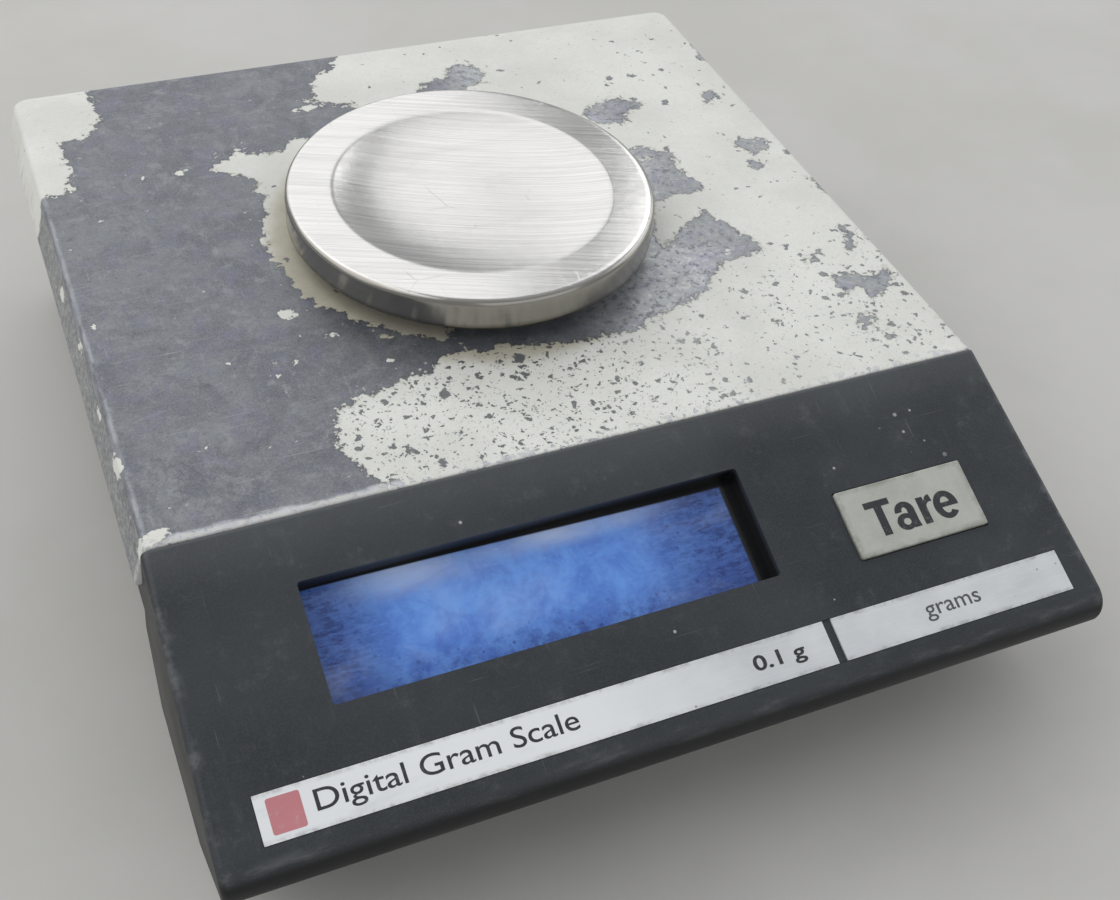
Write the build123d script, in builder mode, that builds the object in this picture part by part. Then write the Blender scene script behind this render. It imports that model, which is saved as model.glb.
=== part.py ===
from build123d import *
import math
import os

# ---------------------------------------------------------------------------
# Digital gram scale: a low wedge-shaped top-loading balance.
# Frame: origin at the centre of the footprint on the surface the feet stand
# on, +X to the right, +Y to the back, +Z up. Millimetres.
# ---------------------------------------------------------------------------

# --- driving dimensions -----------------------------------------------------
Z_TOP = 62.0             # outer plane of the flat top cover
HALF_TOP = 100.0         # half width of the flat top
DEPTH_TOP = 174.0        # depth of the flat top
SKIRT = 10.0             # height of the cover's flared skirt
FLARE = 0.30             # outward flare of the skirt, mm per mm of height
SHEET = 1.2              # cover sheet thickness
SLOPE = 20.5             # slope of the front panel, degrees below horizontal
NOSE_R = 6.0             # radius of the rounded front nose
NOSE_C = (-58.3, -28.2)  # nose centre from the front-top edge (Y, Z)
Y_F = (NOSE_R + 58.3 - DEPTH_TOP - SKIRT * FLARE) / 2.0   # front-top edge
Y_R = Y_F + DEPTH_TOP    # rear top edge
Z_BASE = 10.0            # underside of the base tray
FLOOR = 2.5              # base floor thickness
BEZEL_T = 2.4            # bezel wall
PAN_Y = Y_F + 81.8       # pan centre
PAN_R = 46.5             # pan outer radius
DISH_R = 35.3            # radius of the dish
PAN_TOP = 75.2           # top of the pan's rim
PAN_SIDE = 8.0           # height of the pan's side
PAN_T = 1.0              # pan sheet thickness
WIN = (-73.0, 28.0, 14.6, 41.2)      # display opening: x0, x1, s0, s1
KEY = (47.8, 82.0, 26.6, 43.3)       # tare key: x0, x1, s0, s1
LABEL_S = (53.6, 63.4)               # label strip, distance down the slope
LABEL_X = (-92.8, 32.4, 34.6, 95.0)  # left strip ends, right strip ends
KEY_TRAVEL = 1.2
CELL_L, CELL_W, CELL_H = 130.0, 30.0, 22.0   # single-point load cell
CELL_Z = 20.0
FOOT_X, FOOT_Y = 82.0, -78.0         # front levelling feet
REAR_FOOT = (72.0, 92.0)
COVER_SCREW = [(-88.0, -40.0), (88.0, -40.0), (-88.0, 104.0), (88.0, 104.0)]
BOARD = (-78.0, 78.0, 46.0, 108.0)   # main board x0, x1, y0, y1
BOARD_Z, BOARD_T = 19.0, 1.6
BOARD_HOLES = [(-71.0, 52.0), (71.0, 52.0), (-71.0, 102.0), (71.0, 102.0)]
DB_N = -10.4             # front face of the display board, along the normal
DB_S = (10.5, 45.5)
DB_HOLES = [(-87.0, 14.5), (87.0, 14.5), (-87.0, 41.5), (87.0, 41.5)]
JACK_X, PORT_X = -57.0, 30.0
REAR_IN = 114.3          # inner face of the base's rear wall

A = math.radians(SLOPE)
SA, CA = math.sin(A), math.cos(A)


def panel(n=0.0):
    """Plane parallel to the sloping front panel, n along its outward normal.
    Its x is the row's X and its y runs up the slope from the front-top edge."""
    return Plane(
        origin=(0, Y_F - n * SA, Z_TOP + n * CA),
        x_dir=(1, 0, 0),
        z_dir=(0, -SA, CA),
    )


def box_at(x0, x1, y0, y1, z0, z1, mode=Mode.ADD):
    """Axis-aligned block given by its limits."""
    with BuildSketch(Plane.XY.offset(z0)) as sk:
        with Locations(((x0 + x1) / 2, (y0 + y1) / 2)):
            Rectangle(x1 - x0, y1 - y0)
    extrude(sk.sketch, amount=z1 - z0, mode=mode)


def cyl_at(x, y, r, z0, z1, mode=Mode.ADD):
    """Upright cylinder given by its axis, radius and limits."""
    with BuildSketch(Plane.XY.offset(z0)) as sk:
        with Locations((x, y)):
            Circle(r)
    extrude(sk.sketch, amount=z1 - z0, mode=mode)


def panel_block(x0, x1, s0, s1, n0, n1, r=0.0, mode=Mode.ADD):
    """Block standing square to the front panel, from n0 up to n1."""
    with BuildSketch(panel(n0)) as sk:
        with Locations(((x0 + x1) / 2, -(s0 + s1) / 2)):
            if r > 0:
                RectangleRounded(x1 - x0, s1 - s0, r)
            else:
                Rectangle(x1 - x0, s1 - s0)
    extrude(sk.sketch, amount=n1 - n0, mode=mode)


def panel_cyl(x, s, r, n0, n1, mode=Mode.ADD):
    """Cylinder standing square to the front panel."""
    with BuildSketch(panel(n0)) as sk:
        with Locations((x, -s)):
            Circle(r)
    extrude(sk.sketch, amount=n1 - n0, mode=mode)


def hexagon(x, y, af, z0, z1, mode=Mode.ADD):
    """Upright hexagonal bar given by its width across flats."""
    with BuildSketch(Plane.XY.offset(z0)) as sk:
        with Locations((x, y)):
            RegularPolygon(af / 2, 6, major_radius=False)
    extrude(sk.sketch, amount=z1 - z0, mode=mode)


def save(builder, label):
    builder.part.label = label
    export_step(builder.part, "parts/" + label + ".step")


os.makedirs("parts", exist_ok=True)


# --- top cover: folded sheet, flat top with a flared skirt on three sides ----
def half(z):
    """Half width of the cover's outside at height z."""
    return HALF_TOP + FLARE * (Z_TOP - z)


def rear(z):
    """Rear of the cover's outside at height z."""
    return Y_R + FLARE * (Z_TOP - z)


def cover_block(z0, z1, inset, y_front):
    """Sections at two heights, following the flare, inset from the outside."""
    sections = []
    for z in (z0, z1):
        h, yr = half(z) - inset, rear(z) - inset
        with BuildSketch(Plane.XY.offset(z)) as section:
            with Locations((0, (yr + y_front) / 2)):
                Rectangle(2 * h, yr - y_front)
        sections.append(section.sketch)
    return sections


Z_SKIRT = Z_TOP - SKIRT
with BuildPart() as top_cover:
    loft(cover_block(Z_SKIRT, Z_TOP, 0.0, Y_F))
    corner = [
        e for e in top_cover.edges()
        if e.center().Y > Y_R - 1 and abs(e.center().X) > HALF_TOP - 1
        and abs(e.center().Z - (Z_TOP - SKIRT / 2)) < 1
    ]
    fillet(corner, radius=4.0)
    rim = [
        e for e in top_cover.edges()
        if abs(e.center().Z - Z_TOP) < 0.01 and e.center().Y > Y_F + 1
    ]
    fillet(rim, radius=1.4)
    with BuildPart(mode=Mode.SUBTRACT) as cover_inner:
        loft(cover_block(Z_SKIRT - 1.0, Z_TOP - SHEET, SHEET + 0.05, Y_F - 1.0))
        fillet(
            [
                e for e in cover_inner.edges()
                if e.center().Y > Y_R - 3 and abs(e.center().X) > HALF_TOP - 3
                and 1 < Z_TOP - e.center().Z < SKIRT
            ],
            radius=2.8,
        )
    # front return flange, hidden behind the bezel
    box_at(-97.5, 97.5, Y_F, Y_F + SHEET, Z_TOP - 8.0, Z_TOP - SHEET + 0.2)
    # clearance hole for the pan's post, with a drawn collar
    cyl_at(0, PAN_Y, 13.0, Z_TOP - 0.2, Z_TOP + 1.0)
    cyl_at(0, PAN_Y, 11.5, Z_TOP - SHEET - 1, Z_TOP + 2.0, mode=Mode.SUBTRACT)
save(top_cover, "top_cover")

# --- base tray ---------------------------------------------------------------
with BuildPart() as base_tray:
    for z, h, yr in ((Z_BASE, 100.3, 117.4), (Z_SKIRT - 0.8, 101.5, 118.6)):
        with BuildSketch(Plane.XY.offset(z)):
            with Locations((0, (yr + Y_F + 0.3) / 2)):
                Rectangle(2 * h, yr - Y_F - 0.3)
    loft()
    fillet(
        [
            e for e in base_tray.edges()
            if e.center().Y > 116 and abs(e.center().X) > 99
            and 15 < e.center().Z < 45
        ],
        radius=4.5,
    )
    # lip that stands inside the cover's skirt
    with BuildSketch(Plane.XY.offset(Z_SKIRT - 0.8)):
        with Locations((0, (116.2 + Y_F + 1.5) / 2)):
            RectangleRounded(198.4, 116.2 - Y_F - 1.5, 3.0)
    extrude(amount=6.8)
    # cavity
    with BuildSketch(Plane.XY.offset(Z_BASE + FLOOR)):
        with Locations((0, (REAR_IN + Y_F - 6) / 2)):
            Rectangle(194.4, REAR_IN - Y_F + 6)
    extrude(amount=60, mode=Mode.SUBTRACT)
    # floor under the bezel
    box_at(-99.8, 99.8, -92.0, Y_F + 4, Z_BASE, Z_BASE + FLOOR)
    # upstand that locates the bezel's chin
    box_at(-70, 70, -90.0, -88.0, Z_BASE + FLOOR, Z_BASE + FLOOR + 3)
    # plinth for the load cell's fixed end
    box_at(-66, -34, PAN_Y - 16, PAN_Y + 16, Z_BASE + FLOOR - 0.5, CELL_Z)
    # overload stop boss
    cyl_at(50, PAN_Y, 6.0, Z_BASE + FLOOR - 0.5, 16.0)
    # pillars for the cover screws
    for x, y in COVER_SCREW:
        cyl_at(x, y, 5.5, Z_BASE + FLOOR - 0.5, 30.0)
    # board bosses
    for x, y in BOARD_HOLES:
        cyl_at(x, y, 3.5, Z_BASE + FLOOR - 0.5, BOARD_Z)
    # foot bosses
    for x in (-FOOT_X, FOOT_X):
        cyl_at(x, FOOT_Y, 7.0, Z_BASE + FLOOR - 0.5, 22.0)
    # floor ribs
    for x in (-20.0, 62.0):
        box_at(x - 0.8, x + 0.8, -84, -46, Z_BASE + FLOOR - 0.5, 14.2)
    # load cell bolts from below
    for x in (-58.0, -43.0):
        cyl_at(x, PAN_Y, 5.2, Z_BASE - 1, 14.5, mode=Mode.SUBTRACT)
        cyl_at(x, PAN_Y, 3.2, 14, CELL_Z + 1, mode=Mode.SUBTRACT)
    cyl_at(50, PAN_Y, 2.5, Z_BASE - 1, 17, mode=Mode.SUBTRACT)
    for x, y in COVER_SCREW:
        cyl_at(x, y, 3.6, Z_BASE - 1, 25.0, mode=Mode.SUBTRACT)
        cyl_at(x, y, 1.8, 24, 31, mode=Mode.SUBTRACT)
    for x, y in BOARD_HOLES:
        cyl_at(x, y, 1.25, Z_BASE + FLOOR, BOARD_Z + 1, mode=Mode.SUBTRACT)
    for x in (-FOOT_X, FOOT_X):
        cyl_at(x, FOOT_Y, 4.5, Z_BASE - 1, 23, mode=Mode.SUBTRACT)
    # bezel fixing holes
    for x in (-95.5, 95.5):
        cyl_at(x, -67, 3.0, Z_BASE - 1, 11.3, mode=Mode.SUBTRACT)
        cyl_at(x, -67, 1.7, Z_BASE, 14, mode=Mode.SUBTRACT)
    # rear wall: socket hole, connector pocket, connector cut-out
    with BuildSketch(Plane.XZ.offset(-REAR_IN + 1)):
        with Locations((JACK_X, 26.1)):
            Circle(4.6)
        with Locations((PORT_X, 28.0)):
            RectangleRounded(18.4, 9.8, 1.5)
        with Locations((PORT_X - 12.5, 28.0), (PORT_X + 12.5, 28.0)):
            Circle(1.7)
    extrude(amount=-8, mode=Mode.SUBTRACT)
    with BuildSketch(Plane.XZ.offset(-116.5)):
        with Locations((PORT_X, 28.0)):
            RectangleRounded(37, 16, 2.5)
        with Locations((JACK_X, 26.1)):
            Circle(7.0)
    extrude(amount=-6, mode=Mode.SUBTRACT)
save(base_tray, "base_tray")

# --- front bezel: sloping panel, rounded nose, chin and cheeks ---------------
Y_B = Y_F - 0.25
C_Y, C_Z = Y_F + NOSE_C[0], Z_TOP + NOSE_C[1]
CHIN = math.radians(40)
arc_a = (C_Y - NOSE_R * SA, C_Z + NOSE_R * CA)
arc_m = (C_Y - NOSE_R, C_Z)
arc_b = (C_Y - NOSE_R * math.sin(CHIN), C_Z - NOSE_R * math.cos(CHIN))
chin_y = arc_b[0] + (arc_b[1] - Z_BASE) / math.tan(CHIN)
top_b = (Y_B, Z_TOP - 0.05 - 0.25 * math.tan(A))


def bezel_profile(pl, grow=0.0):
    """Side section of the bezel, in the YZ plane."""
    with BuildSketch(pl) as sk:
        with BuildLine():
            Line(top_b, arc_a)
            ThreePointArc(arc_a, arc_m, arc_b)
            Line(arc_b, (chin_y, Z_BASE))
            Line((chin_y, Z_BASE), (Y_B, Z_BASE))
            Line((Y_B, Z_BASE), top_b)
        make_face()
        if grow:
            offset(amount=grow, kind=Kind.INTERSECTION)
    return sk.sketch


with BuildPart() as front_bezel:
    extrude(bezel_profile(Plane.YZ.offset(-102.4)), amount=204.8)
    # the sides flare slightly on the way down to the nose
    for s in (-1, 1):
        with BuildSketch(Plane.XZ.offset(130)) as side:
            with BuildLine():
                Polyline(
                    (s * 100.8, Z_TOP + 1), (s * 102.4, 39.0), (s * 102.4, 5.0),
                    (s * 110, 5.0), (s * 110, Z_TOP + 1), (s * 100.8, Z_TOP + 1),
                )
            make_face()
        extrude(side.sketch, amount=-80, mode=Mode.SUBTRACT)
    outer_edges = [
        e for e in front_bezel.edges()
        if abs(e.center().X) > 100.5 and e.center().Z > 12
        and e.center().Y < Y_B - 1 and e.length > 5
        and not (abs(e.center().X) > 102.3 and abs(e.center().Z - 39) < 0.05)
    ]
    fillet(outer_edges, radius=1.6)
    # hollow inside, open to the back and over the base floor
    extrude(bezel_profile(Plane.YZ.offset(-98.3), -BEZEL_T), amount=196.6, mode=Mode.SUBTRACT)
    with BuildSketch(Plane.YZ.offset(-98.3)) as back_open:
        with BuildLine():
            Polyline(
                (Y_B - 12, Z_BASE - 1), (Y_B + 1, Z_BASE - 1),
                (Y_B + 1, top_b[1] - BEZEL_T / CA + 1.25 * math.tan(A)),
                (Y_B - 12, top_b[1] - BEZEL_T / CA - 12 * math.tan(A)),
                (Y_B - 12, Z_BASE - 1),
            )
        make_face()
    extrude(back_open.sketch, amount=196.6, mode=Mode.SUBTRACT)
    box_at(-100.1, 100.1, -92.3, Y_F + 1, Z_BASE - 1, Z_BASE + FLOOR, mode=Mode.SUBTRACT)
    box_at(-98.3, 98.3, -92.3, Y_F + 1, Z_BASE, Z_BASE + FLOOR + 2, mode=Mode.SUBTRACT)
    # collar around the display opening
    x0, x1, s0, s1 = WIN
    panel_block(x0 - 2.6, x1 + 2.6, s0 - 2.6, s1 + 2.6, -8.0, -BEZEL_T + 0.2)
    # bosses for the display board
    for x, s in DB_HOLES:
        panel_cyl(x, s, 3.0, DB_N, -BEZEL_T + 0.2)
    # guide rim around the key
    kx0, kx1, ks0, ks1 = KEY
    # blocks for the bezel's own screws
    for s in (-1, 1):
        xa, xb = sorted((s * 91.5, s * 99.5))
        box_at(xa, xb, -72, -62, Z_BASE + FLOOR, 26)
    # openings
    panel_block(x0, x1, s0, s1, -20, 5, r=0.8, mode=Mode.SUBTRACT)
    panel_block(x0 - 1.0, x1 + 1.0, s0 - 1.0, s1 + 1.0, -20, -5.0, mode=Mode.SUBTRACT)
    panel_block(kx0 - 0.2, kx1 + 0.2, ks0 - 0.2, ks1 + 0.2, -8, 5, r=0.6, mode=Mode.SUBTRACT)
    for x, s in DB_HOLES:
        panel_cyl(x, s, 1.2, DB_N - 1, -4.0, mode=Mode.SUBTRACT)
    # shallow recess for the label strips
    panel_block(LABEL_X[0] - 0.15, LABEL_X[3] + 0.15, LABEL_S[0] - 0.15, LABEL_S[1] + 0.15, -0.4, 3, mode=Mode.SUBTRACT)
    for x in (-95.5, 95.5):
        cyl_at(x, -67, 1.35, Z_BASE, 23, mode=Mode.SUBTRACT)
save(front_bezel, "front_bezel")

# --- display ------------------------------------------------------------------
with BuildPart() as display_window:
    panel_block(x0 - 0.9, x1 + 0.9, s0 - 0.9, s1 + 0.9, -6.5, -5.0)
save(display_window, "display_window")

with BuildPart() as window_gasket:
    panel_block(x0 - 0.9, x1 + 0.9, s0 - 0.9, s1 + 0.9, -7.6, -6.5)
    panel_block(x0 + 1.6, x1 - 1.6, s0 + 1.2, s1 - 1.2, -8, -6, mode=Mode.SUBTRACT)
save(window_gasket, "window_gasket")

with BuildPart() as display_module:
    panel_block(x0 + 1.8, x1 - 1.8, s0 + 1.4, s1 - 1.4, DB_N, -6.9)
    chamfer(display_module.edges().group_by(Axis.Z)[-1], length=0.3)
save(display_module, "display_module")

with BuildPart() as display_board:
    panel_block(-92, 92, DB_S[0], DB_S[1], DB_N - 1.6, DB_N)
    for x, s in DB_HOLES:
        panel_cyl(x, s, 1.5, DB_N - 3, DB_N + 1, mode=Mode.SUBTRACT)
save(display_board, "display_board")

with BuildPart() as display_board_screws:
    for x, s in DB_HOLES:
        panel_cyl(x, s, 2.5, DB_N - 3.1, DB_N - 1.6)
        panel_cyl(x, s, 1.15, DB_N - 1.8, -4.4)
save(display_board_screws, "display_board_screws")

# --- label strips -------------------------------------------------------------
with BuildPart() as label_strip_left:
    panel_block(LABEL_X[0], LABEL_X[1], LABEL_S[0], LABEL_S[1], -0.4, 0.1)
save(label_strip_left, "label_strip_left")
with BuildPart() as label_strip_right:
    panel_block(LABEL_X[2], LABEL_X[3], LABEL_S[0], LABEL_S[1], -0.4, 0.1)
save(label_strip_right, "label_strip_right")

# --- tare key, its spring and its switch ---------------------------------------
KX, KS = (KEY[0] + KEY[1]) / 2, (KEY[2] + KEY[3]) / 2
with BuildPart() as tare_key:
    panel_block(KEY[0] + 0.1, KEY[1] - 0.1, KEY[2] + 0.1, KEY[3] - 0.1, -3.0, 0.7, r=0.5)
    top_face = tare_key.faces().sort_by(Axis.Z)[-1]
    fillet(top_face.edges(), radius=0.35)
    panel_block(KEY[0] - 1.0, KEY[1] + 1.0, KEY[2] - 1.0, KEY[3] + 1.0, -4.0, -2.6)
    panel_cyl(KX, KS, 2.0, -5.6, -3.5)
save(tare_key, "tare_key")

with BuildPart() as switch_plunger:
    panel_cyl(KX, KS, 1.7, -8.0, -5.6)
save(switch_plunger, "switch_plunger")

with BuildPart() as key_switch:
    panel_block(KX - 3, KX + 3, KS - 3, KS + 3, DB_N, -7.2)
    panel_cyl(KX, KS, 1.78, -9.6, -7, mode=Mode.SUBTRACT)
save(key_switch, "key_switch")

SPRING_R, WIRE_R = 5.2, 0.35
SPRING_N0, SPRING_N1 = DB_N + WIRE_R + 0.03, -4.0 - WIRE_R - 0.03
with BuildPart() as key_spring:
    with BuildLine() as coil:
        Helix(
            pitch=(SPRING_N1 - SPRING_N0) / 3.5,
            height=SPRING_N1 - SPRING_N0,
            radius=SPRING_R,
            center=(KX, Y_F - KS * CA - SPRING_N0 * SA, Z_TOP - KS * SA + SPRING_N0 * CA),
            direction=(0, -SA, CA),
        )
    with BuildSketch(Plane(origin=coil.line @ 0, z_dir=coil.line % 0)):
        Circle(WIRE_R)
    sweep(path=coil.line, is_frenet=True)
save(key_spring, "key_spring")

# --- weighing pan: dished disc with a short side and a socket hub --------------
SIDE_Z = PAN_TOP - PAN_SIDE
with BuildPart() as weighing_pan:
    with BuildSketch(Plane.XZ.offset(-PAN_Y)):
        with BuildLine():
            # outside: socket hub, dish underside, inside of the rim
            Line((0, PAN_TOP - 2.6), (0, 71.3))
            Line((0, 71.3), (5.06, 71.3))
            Line((5.06, 71.3), (5.06, 67.8))
            Line((5.06, 67.8), (9.0, 67.8))
            Line((9.0, 67.8), (9.0, PAN_TOP - 2.6 - PAN_T + 0.12))
            Spline(
                (9.0, PAN_TOP - 2.6 - PAN_T + 0.12), (22.6, PAN_TOP - 1.9 - PAN_T),
                (33.6, PAN_TOP - 0.25 - PAN_T), (37.5, PAN_TOP - PAN_T),
                tangents=[(1, 0.02), (1, 0)],
            )
            Line((37.5, PAN_TOP - PAN_T), (PAN_R - 1.6, PAN_TOP - PAN_T))
            Line((PAN_R - 1.6, PAN_TOP - PAN_T), (PAN_R - PAN_T, PAN_TOP - 1.6))
            Line((PAN_R - PAN_T, PAN_TOP - 1.6), (PAN_R - PAN_T, SIDE_Z + 0.2))
            Line((PAN_R - PAN_T, SIDE_Z + 0.2), (PAN_R - PAN_T + 0.2, SIDE_Z))
            Line((PAN_R - PAN_T + 0.2, SIDE_Z), (PAN_R - 0.2, SIDE_Z))
            Line((PAN_R - 0.2, SIDE_Z), (PAN_R, SIDE_Z + 0.2))
            Line((PAN_R, SIDE_Z + 0.2), (PAN_R, PAN_TOP - 1.1))
            ThreePointArc(
                (PAN_R, PAN_TOP - 1.1),
                (PAN_R - 1.1 + 1.1 * math.cos(math.radians(45)), PAN_TOP - 1.1 + 1.1 * math.sin(math.radians(45))),
                (PAN_R - 1.1, PAN_TOP),
            )
            Line((PAN_R - 1.1, PAN_TOP), (DISH_R + 1.4, PAN_TOP))
            Spline(
                (DISH_R + 1.4, PAN_TOP), (DISH_R - 1.4, PAN_TOP - 0.35),
                (22.6, PAN_TOP - 1.95), (0, PAN_TOP - 2.6),
                tangents=[(-1, 0), (-1, 0)],
            )
        make_face()
    revolve(axis=Axis((0, PAN_Y, 0), (0, 0, 1)))
save(weighing_pan, "weighing_pan")

# --- pan carrier on the load cell's free end -----------------------------------
with BuildPart() as pan_carrier:
    box_at(-16, 65, PAN_Y - 14, PAN_Y + 14, 45.0, 50.0)
    fillet(pan_carrier.edges().filter_by(Axis.Z), radius=3)
    cyl_at(0, PAN_Y, 10.0, 49.5, 54.0)
    cyl_at(0, PAN_Y, 6.0, 53.5, 64.3)
    cyl_at(0, PAN_Y, 5.0, 64.0, 70.8)
    for x in (43.0, 58.0):
        cyl_at(x, PAN_Y, 2.6, 44, 51, mode=Mode.SUBTRACT)
save(pan_carrier, "pan_carrier")

with BuildPart() as carrier_spacer:
    box_at(36, 65, PAN_Y - 14, PAN_Y + 14, 42.0, 45.0)
    for x in (43.0, 58.0):
        cyl_at(x, PAN_Y, 2.6, 41, 46, mode=Mode.SUBTRACT)
save(carrier_spacer, "carrier_spacer")

with BuildPart() as carrier_screws:
    for x in (43.0, 58.0):
        cyl_at(x, PAN_Y, 4.2, 50.0, 54.5)
        cyl_at(x, PAN_Y, 2.45, 31.0, 50.2)
        hexagon(x, PAN_Y, 4.0, 52.2, 55, mode=Mode.SUBTRACT)
save(carrier_screws, "carrier_screws")

with BuildPart() as support_disc:
    cyl_at(0, PAN_Y, 20.0, 64.3, 65.8)
    cyl_at(0, PAN_Y, 5.05, 64, 66, mode=Mode.SUBTRACT)
save(support_disc, "support_disc")

with BuildPart() as cushion_ring:
    cyl_at(0, PAN_Y, 8.6, 65.8, 67.8)
    cyl_at(0, PAN_Y, 5.1, 65, 68, mode=Mode.SUBTRACT)
save(cushion_ring, "cushion_ring")

# --- load cell: aluminium block with a binocular cut-out ------------------------
with BuildPart() as load_cell:
    box_at(-CELL_L / 2, CELL_L / 2, PAN_Y - CELL_W / 2, PAN_Y + CELL_W / 2, CELL_Z, CELL_Z + CELL_H)
    with BuildSketch(Plane.XZ.offset(-PAN_Y + CELL_W)):
        with Locations((-10, CELL_Z + CELL_H / 2), (10, CELL_Z + CELL_H / 2)):
            Circle(7.8)
        with Locations((0, CELL_Z + CELL_H / 2)):
            Rectangle(20, 5)
    extrude(amount=-2 * CELL_W, mode=Mode.SUBTRACT)
    for x in (-58.0, -43.0):
        cyl_at(x, PAN_Y, 3.0, CELL_Z - 1, 34, mode=Mode.SUBTRACT)
    for x in (43.0, 58.0):
        cyl_at(x, PAN_Y, 2.5, 30, CELL_Z + CELL_H + 1, mode=Mode.SUBTRACT)
    chamfer(load_cell.edges().filter_by(Axis.X), length=0.6)
save(load_cell, "load_cell")

with BuildPart() as load_cell_screws:
    for x in (-58.0, -43.0):
        cyl_at(x, PAN_Y, 4.8, 10.8, 14.5)
        cyl_at(x, PAN_Y, 2.95, 14.3, 32)
        hexagon(x, PAN_Y, 4.0, 10, 13, mode=Mode.SUBTRACT)
save(load_cell_screws, "load_cell_screws")

with BuildPart() as gauge_seals:
    for za, zb in ((CELL_Z - 1.6, CELL_Z), (CELL_Z + CELL_H, CELL_Z + CELL_H + 1.6)):
        box_at(-20, 20, PAN_Y - 9, PAN_Y + 9, za, zb)
save(gauge_seals, "gauge_seals")

with BuildPart() as overload_stop:
    cyl_at(50, PAN_Y, 2.44, 11.0, 19.4)
    with BuildSketch(Plane.XY.offset(10.5)):
        with Locations((50, PAN_Y)):
            SlotOverall(4.2, 0.9)
    extrude(amount=1.4, mode=Mode.SUBTRACT)
save(overload_stop, "overload_stop")

with BuildPart() as stop_lock_nut:
    hexagon(50, PAN_Y, 8.0, 16.0, 18.2)
    cyl_at(50, PAN_Y, 2.5, 15, 19, mode=Mode.SUBTRACT)
save(stop_lock_nut, "stop_lock_nut")

# --- cover studs and screws ------------------------------------------------------
with BuildPart() as cover_studs:
    for x, y in COVER_SCREW:
        hexagon(x, y, 6.0, 30.0, Z_TOP - SHEET)
        cyl_at(x, y, 1.55, 29, 42, mode=Mode.SUBTRACT)
save(cover_studs, "cover_studs")

with BuildPart() as cover_screws:
    for x, y in COVER_SCREW:
        cyl_at(x, y, 3.0, 23.0, 25.0)
        cyl_at(x, y, 1.5, 24.9, 39.0)
        with BuildSketch(Plane.XY.offset(22.5)):
            with Locations((x, y)):
                Rectangle(3.2, 0.8)
                Rectangle(0.8, 3.2)
        extrude(amount=1.4, mode=Mode.SUBTRACT)
save(cover_screws, "cover_screws")

with BuildPart() as bezel_screws:
    for x in (-95.5, 95.5):
        cyl_at(x, -67, 2.7, 10.1, 11.3)
        cyl_at(x, -67, 1.3, 11.2, 21.5)
        with BuildSketch(Plane.XY.offset(9.8)):
            with Locations((x, -67)):
                Rectangle(2.8, 0.7)
                Rectangle(0.7, 2.8)
        extrude(amount=0.9, mode=Mode.SUBTRACT)
save(bezel_screws, "bezel_screws")

# --- main board and what stands on it --------------------------------------------
B_TOP = BOARD_Z + BOARD_T
with BuildPart() as main_board:
    box_at(*BOARD, BOARD_Z, B_TOP)
    fillet(main_board.edges().filter_by(Axis.Z), radius=1.5)
    for x, y in BOARD_HOLES:
        cyl_at(x, y, 1.6, BOARD_Z - 1, B_TOP + 1, mode=Mode.SUBTRACT)
save(main_board, "main_board")

with BuildPart() as main_board_screws:
    for x, y in BOARD_HOLES:
        cyl_at(x, y, 2.8, B_TOP, B_TOP + 1.8)
        cyl_at(x, y, 1.2, 13.5, B_TOP + 0.2)
        with BuildSketch(Plane.XY.offset(B_TOP + 0.9)):
            with Locations((x, y)):
                Rectangle(3.0, 0.7)
                Rectangle(0.7, 3.0)
        extrude(amount=1.4, mode=Mode.SUBTRACT)
save(main_board_screws, "main_board_screws")

with BuildPart() as board_chips:
    for cx, cy, w, d, h in ((26, 60, 52, 13.6, 4.0), (18, 79, 36, 13.6, 4.0), (58, 76, 20, 6.6, 3.6), (-8, 60, 8, 20, 3.6), (-12, 88, 20, 6.6, 3.6)):
        box_at(cx - w / 2, cx + w / 2, cy - d / 2, cy + d / 2, B_TOP, B_TOP + h)
save(board_chips, "board_chips")

with BuildPart() as adc_shield:
    box_at(-62, -24, 50, 76, B_TOP, B_TOP + 10)
    fillet(adc_shield.edges().filter_by(Axis.Z), radius=1.0)
    box_at(-61.4, -24.6, 50.6, 75.4, B_TOP - 1, B_TOP + 9.4, mode=Mode.SUBTRACT)
save(adc_shield, "adc_shield")

with BuildPart() as board_capacitors:
    for x, y, r, h in ((-64, 87, 5.0, 16.0), (-50, 87, 5.0, 16.0), (54, 90, 3.2, 11.0), (66, 88, 3.2, 11.0)):
        cyl_at(x, y, r, B_TOP, B_TOP + h)
    fillet(board_capacitors.edges().group_by(Axis.Z)[-1], radius=0.6)
save(board_capacitors, "board_capacitors")

with BuildPart() as voltage_regulator:
    box_at(-38, -28, 88, 92.4, B_TOP + 2.5, B_TOP + 11.5)
    box_at(-38, -28, 91.1, 92.4, B_TOP + 11.0, B_TOP + 18.0)
    for x in (-35.5, -33.0, -30.5):
        box_at(x - 0.4, x + 0.4, 89.6, 90.4, B_TOP, B_TOP + 3)
save(voltage_regulator, "voltage_regulator")

with BuildPart() as heat_sink:
    box_at(-43, -23, 92.4, 94.4, B_TOP, B_TOP + 20)
    for x in (-42.2, -37.6, -33.0, -28.4, -23.8):
        box_at(x - 0.8, x + 0.8, 94.2, 102.0, B_TOP, B_TOP + 20)
save(heat_sink, "heat_sink")

# --- rear connectors ---------------------------------------------------------------
with BuildPart() as power_jack:
    box_at(JACK_X - 7, JACK_X + 7, 100.0, REAR_IN - 0.1, B_TOP, 31.6)
    with BuildSketch(Plane.XZ.offset(-REAR_IN + 0.4)):
        with Locations((JACK_X, 26.1)):
            Circle(4.3)
    extrude(amount=-3.9)
    with BuildSketch(Plane.XZ.offset(-108.0)):
        with Locations((JACK_X, 26.1)):
            Circle(2.75)
            Circle(1.05, mode=Mode.SUBTRACT)
    extrude(amount=-12, mode=Mode.SUBTRACT)
save(power_jack, "power_jack")

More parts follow.
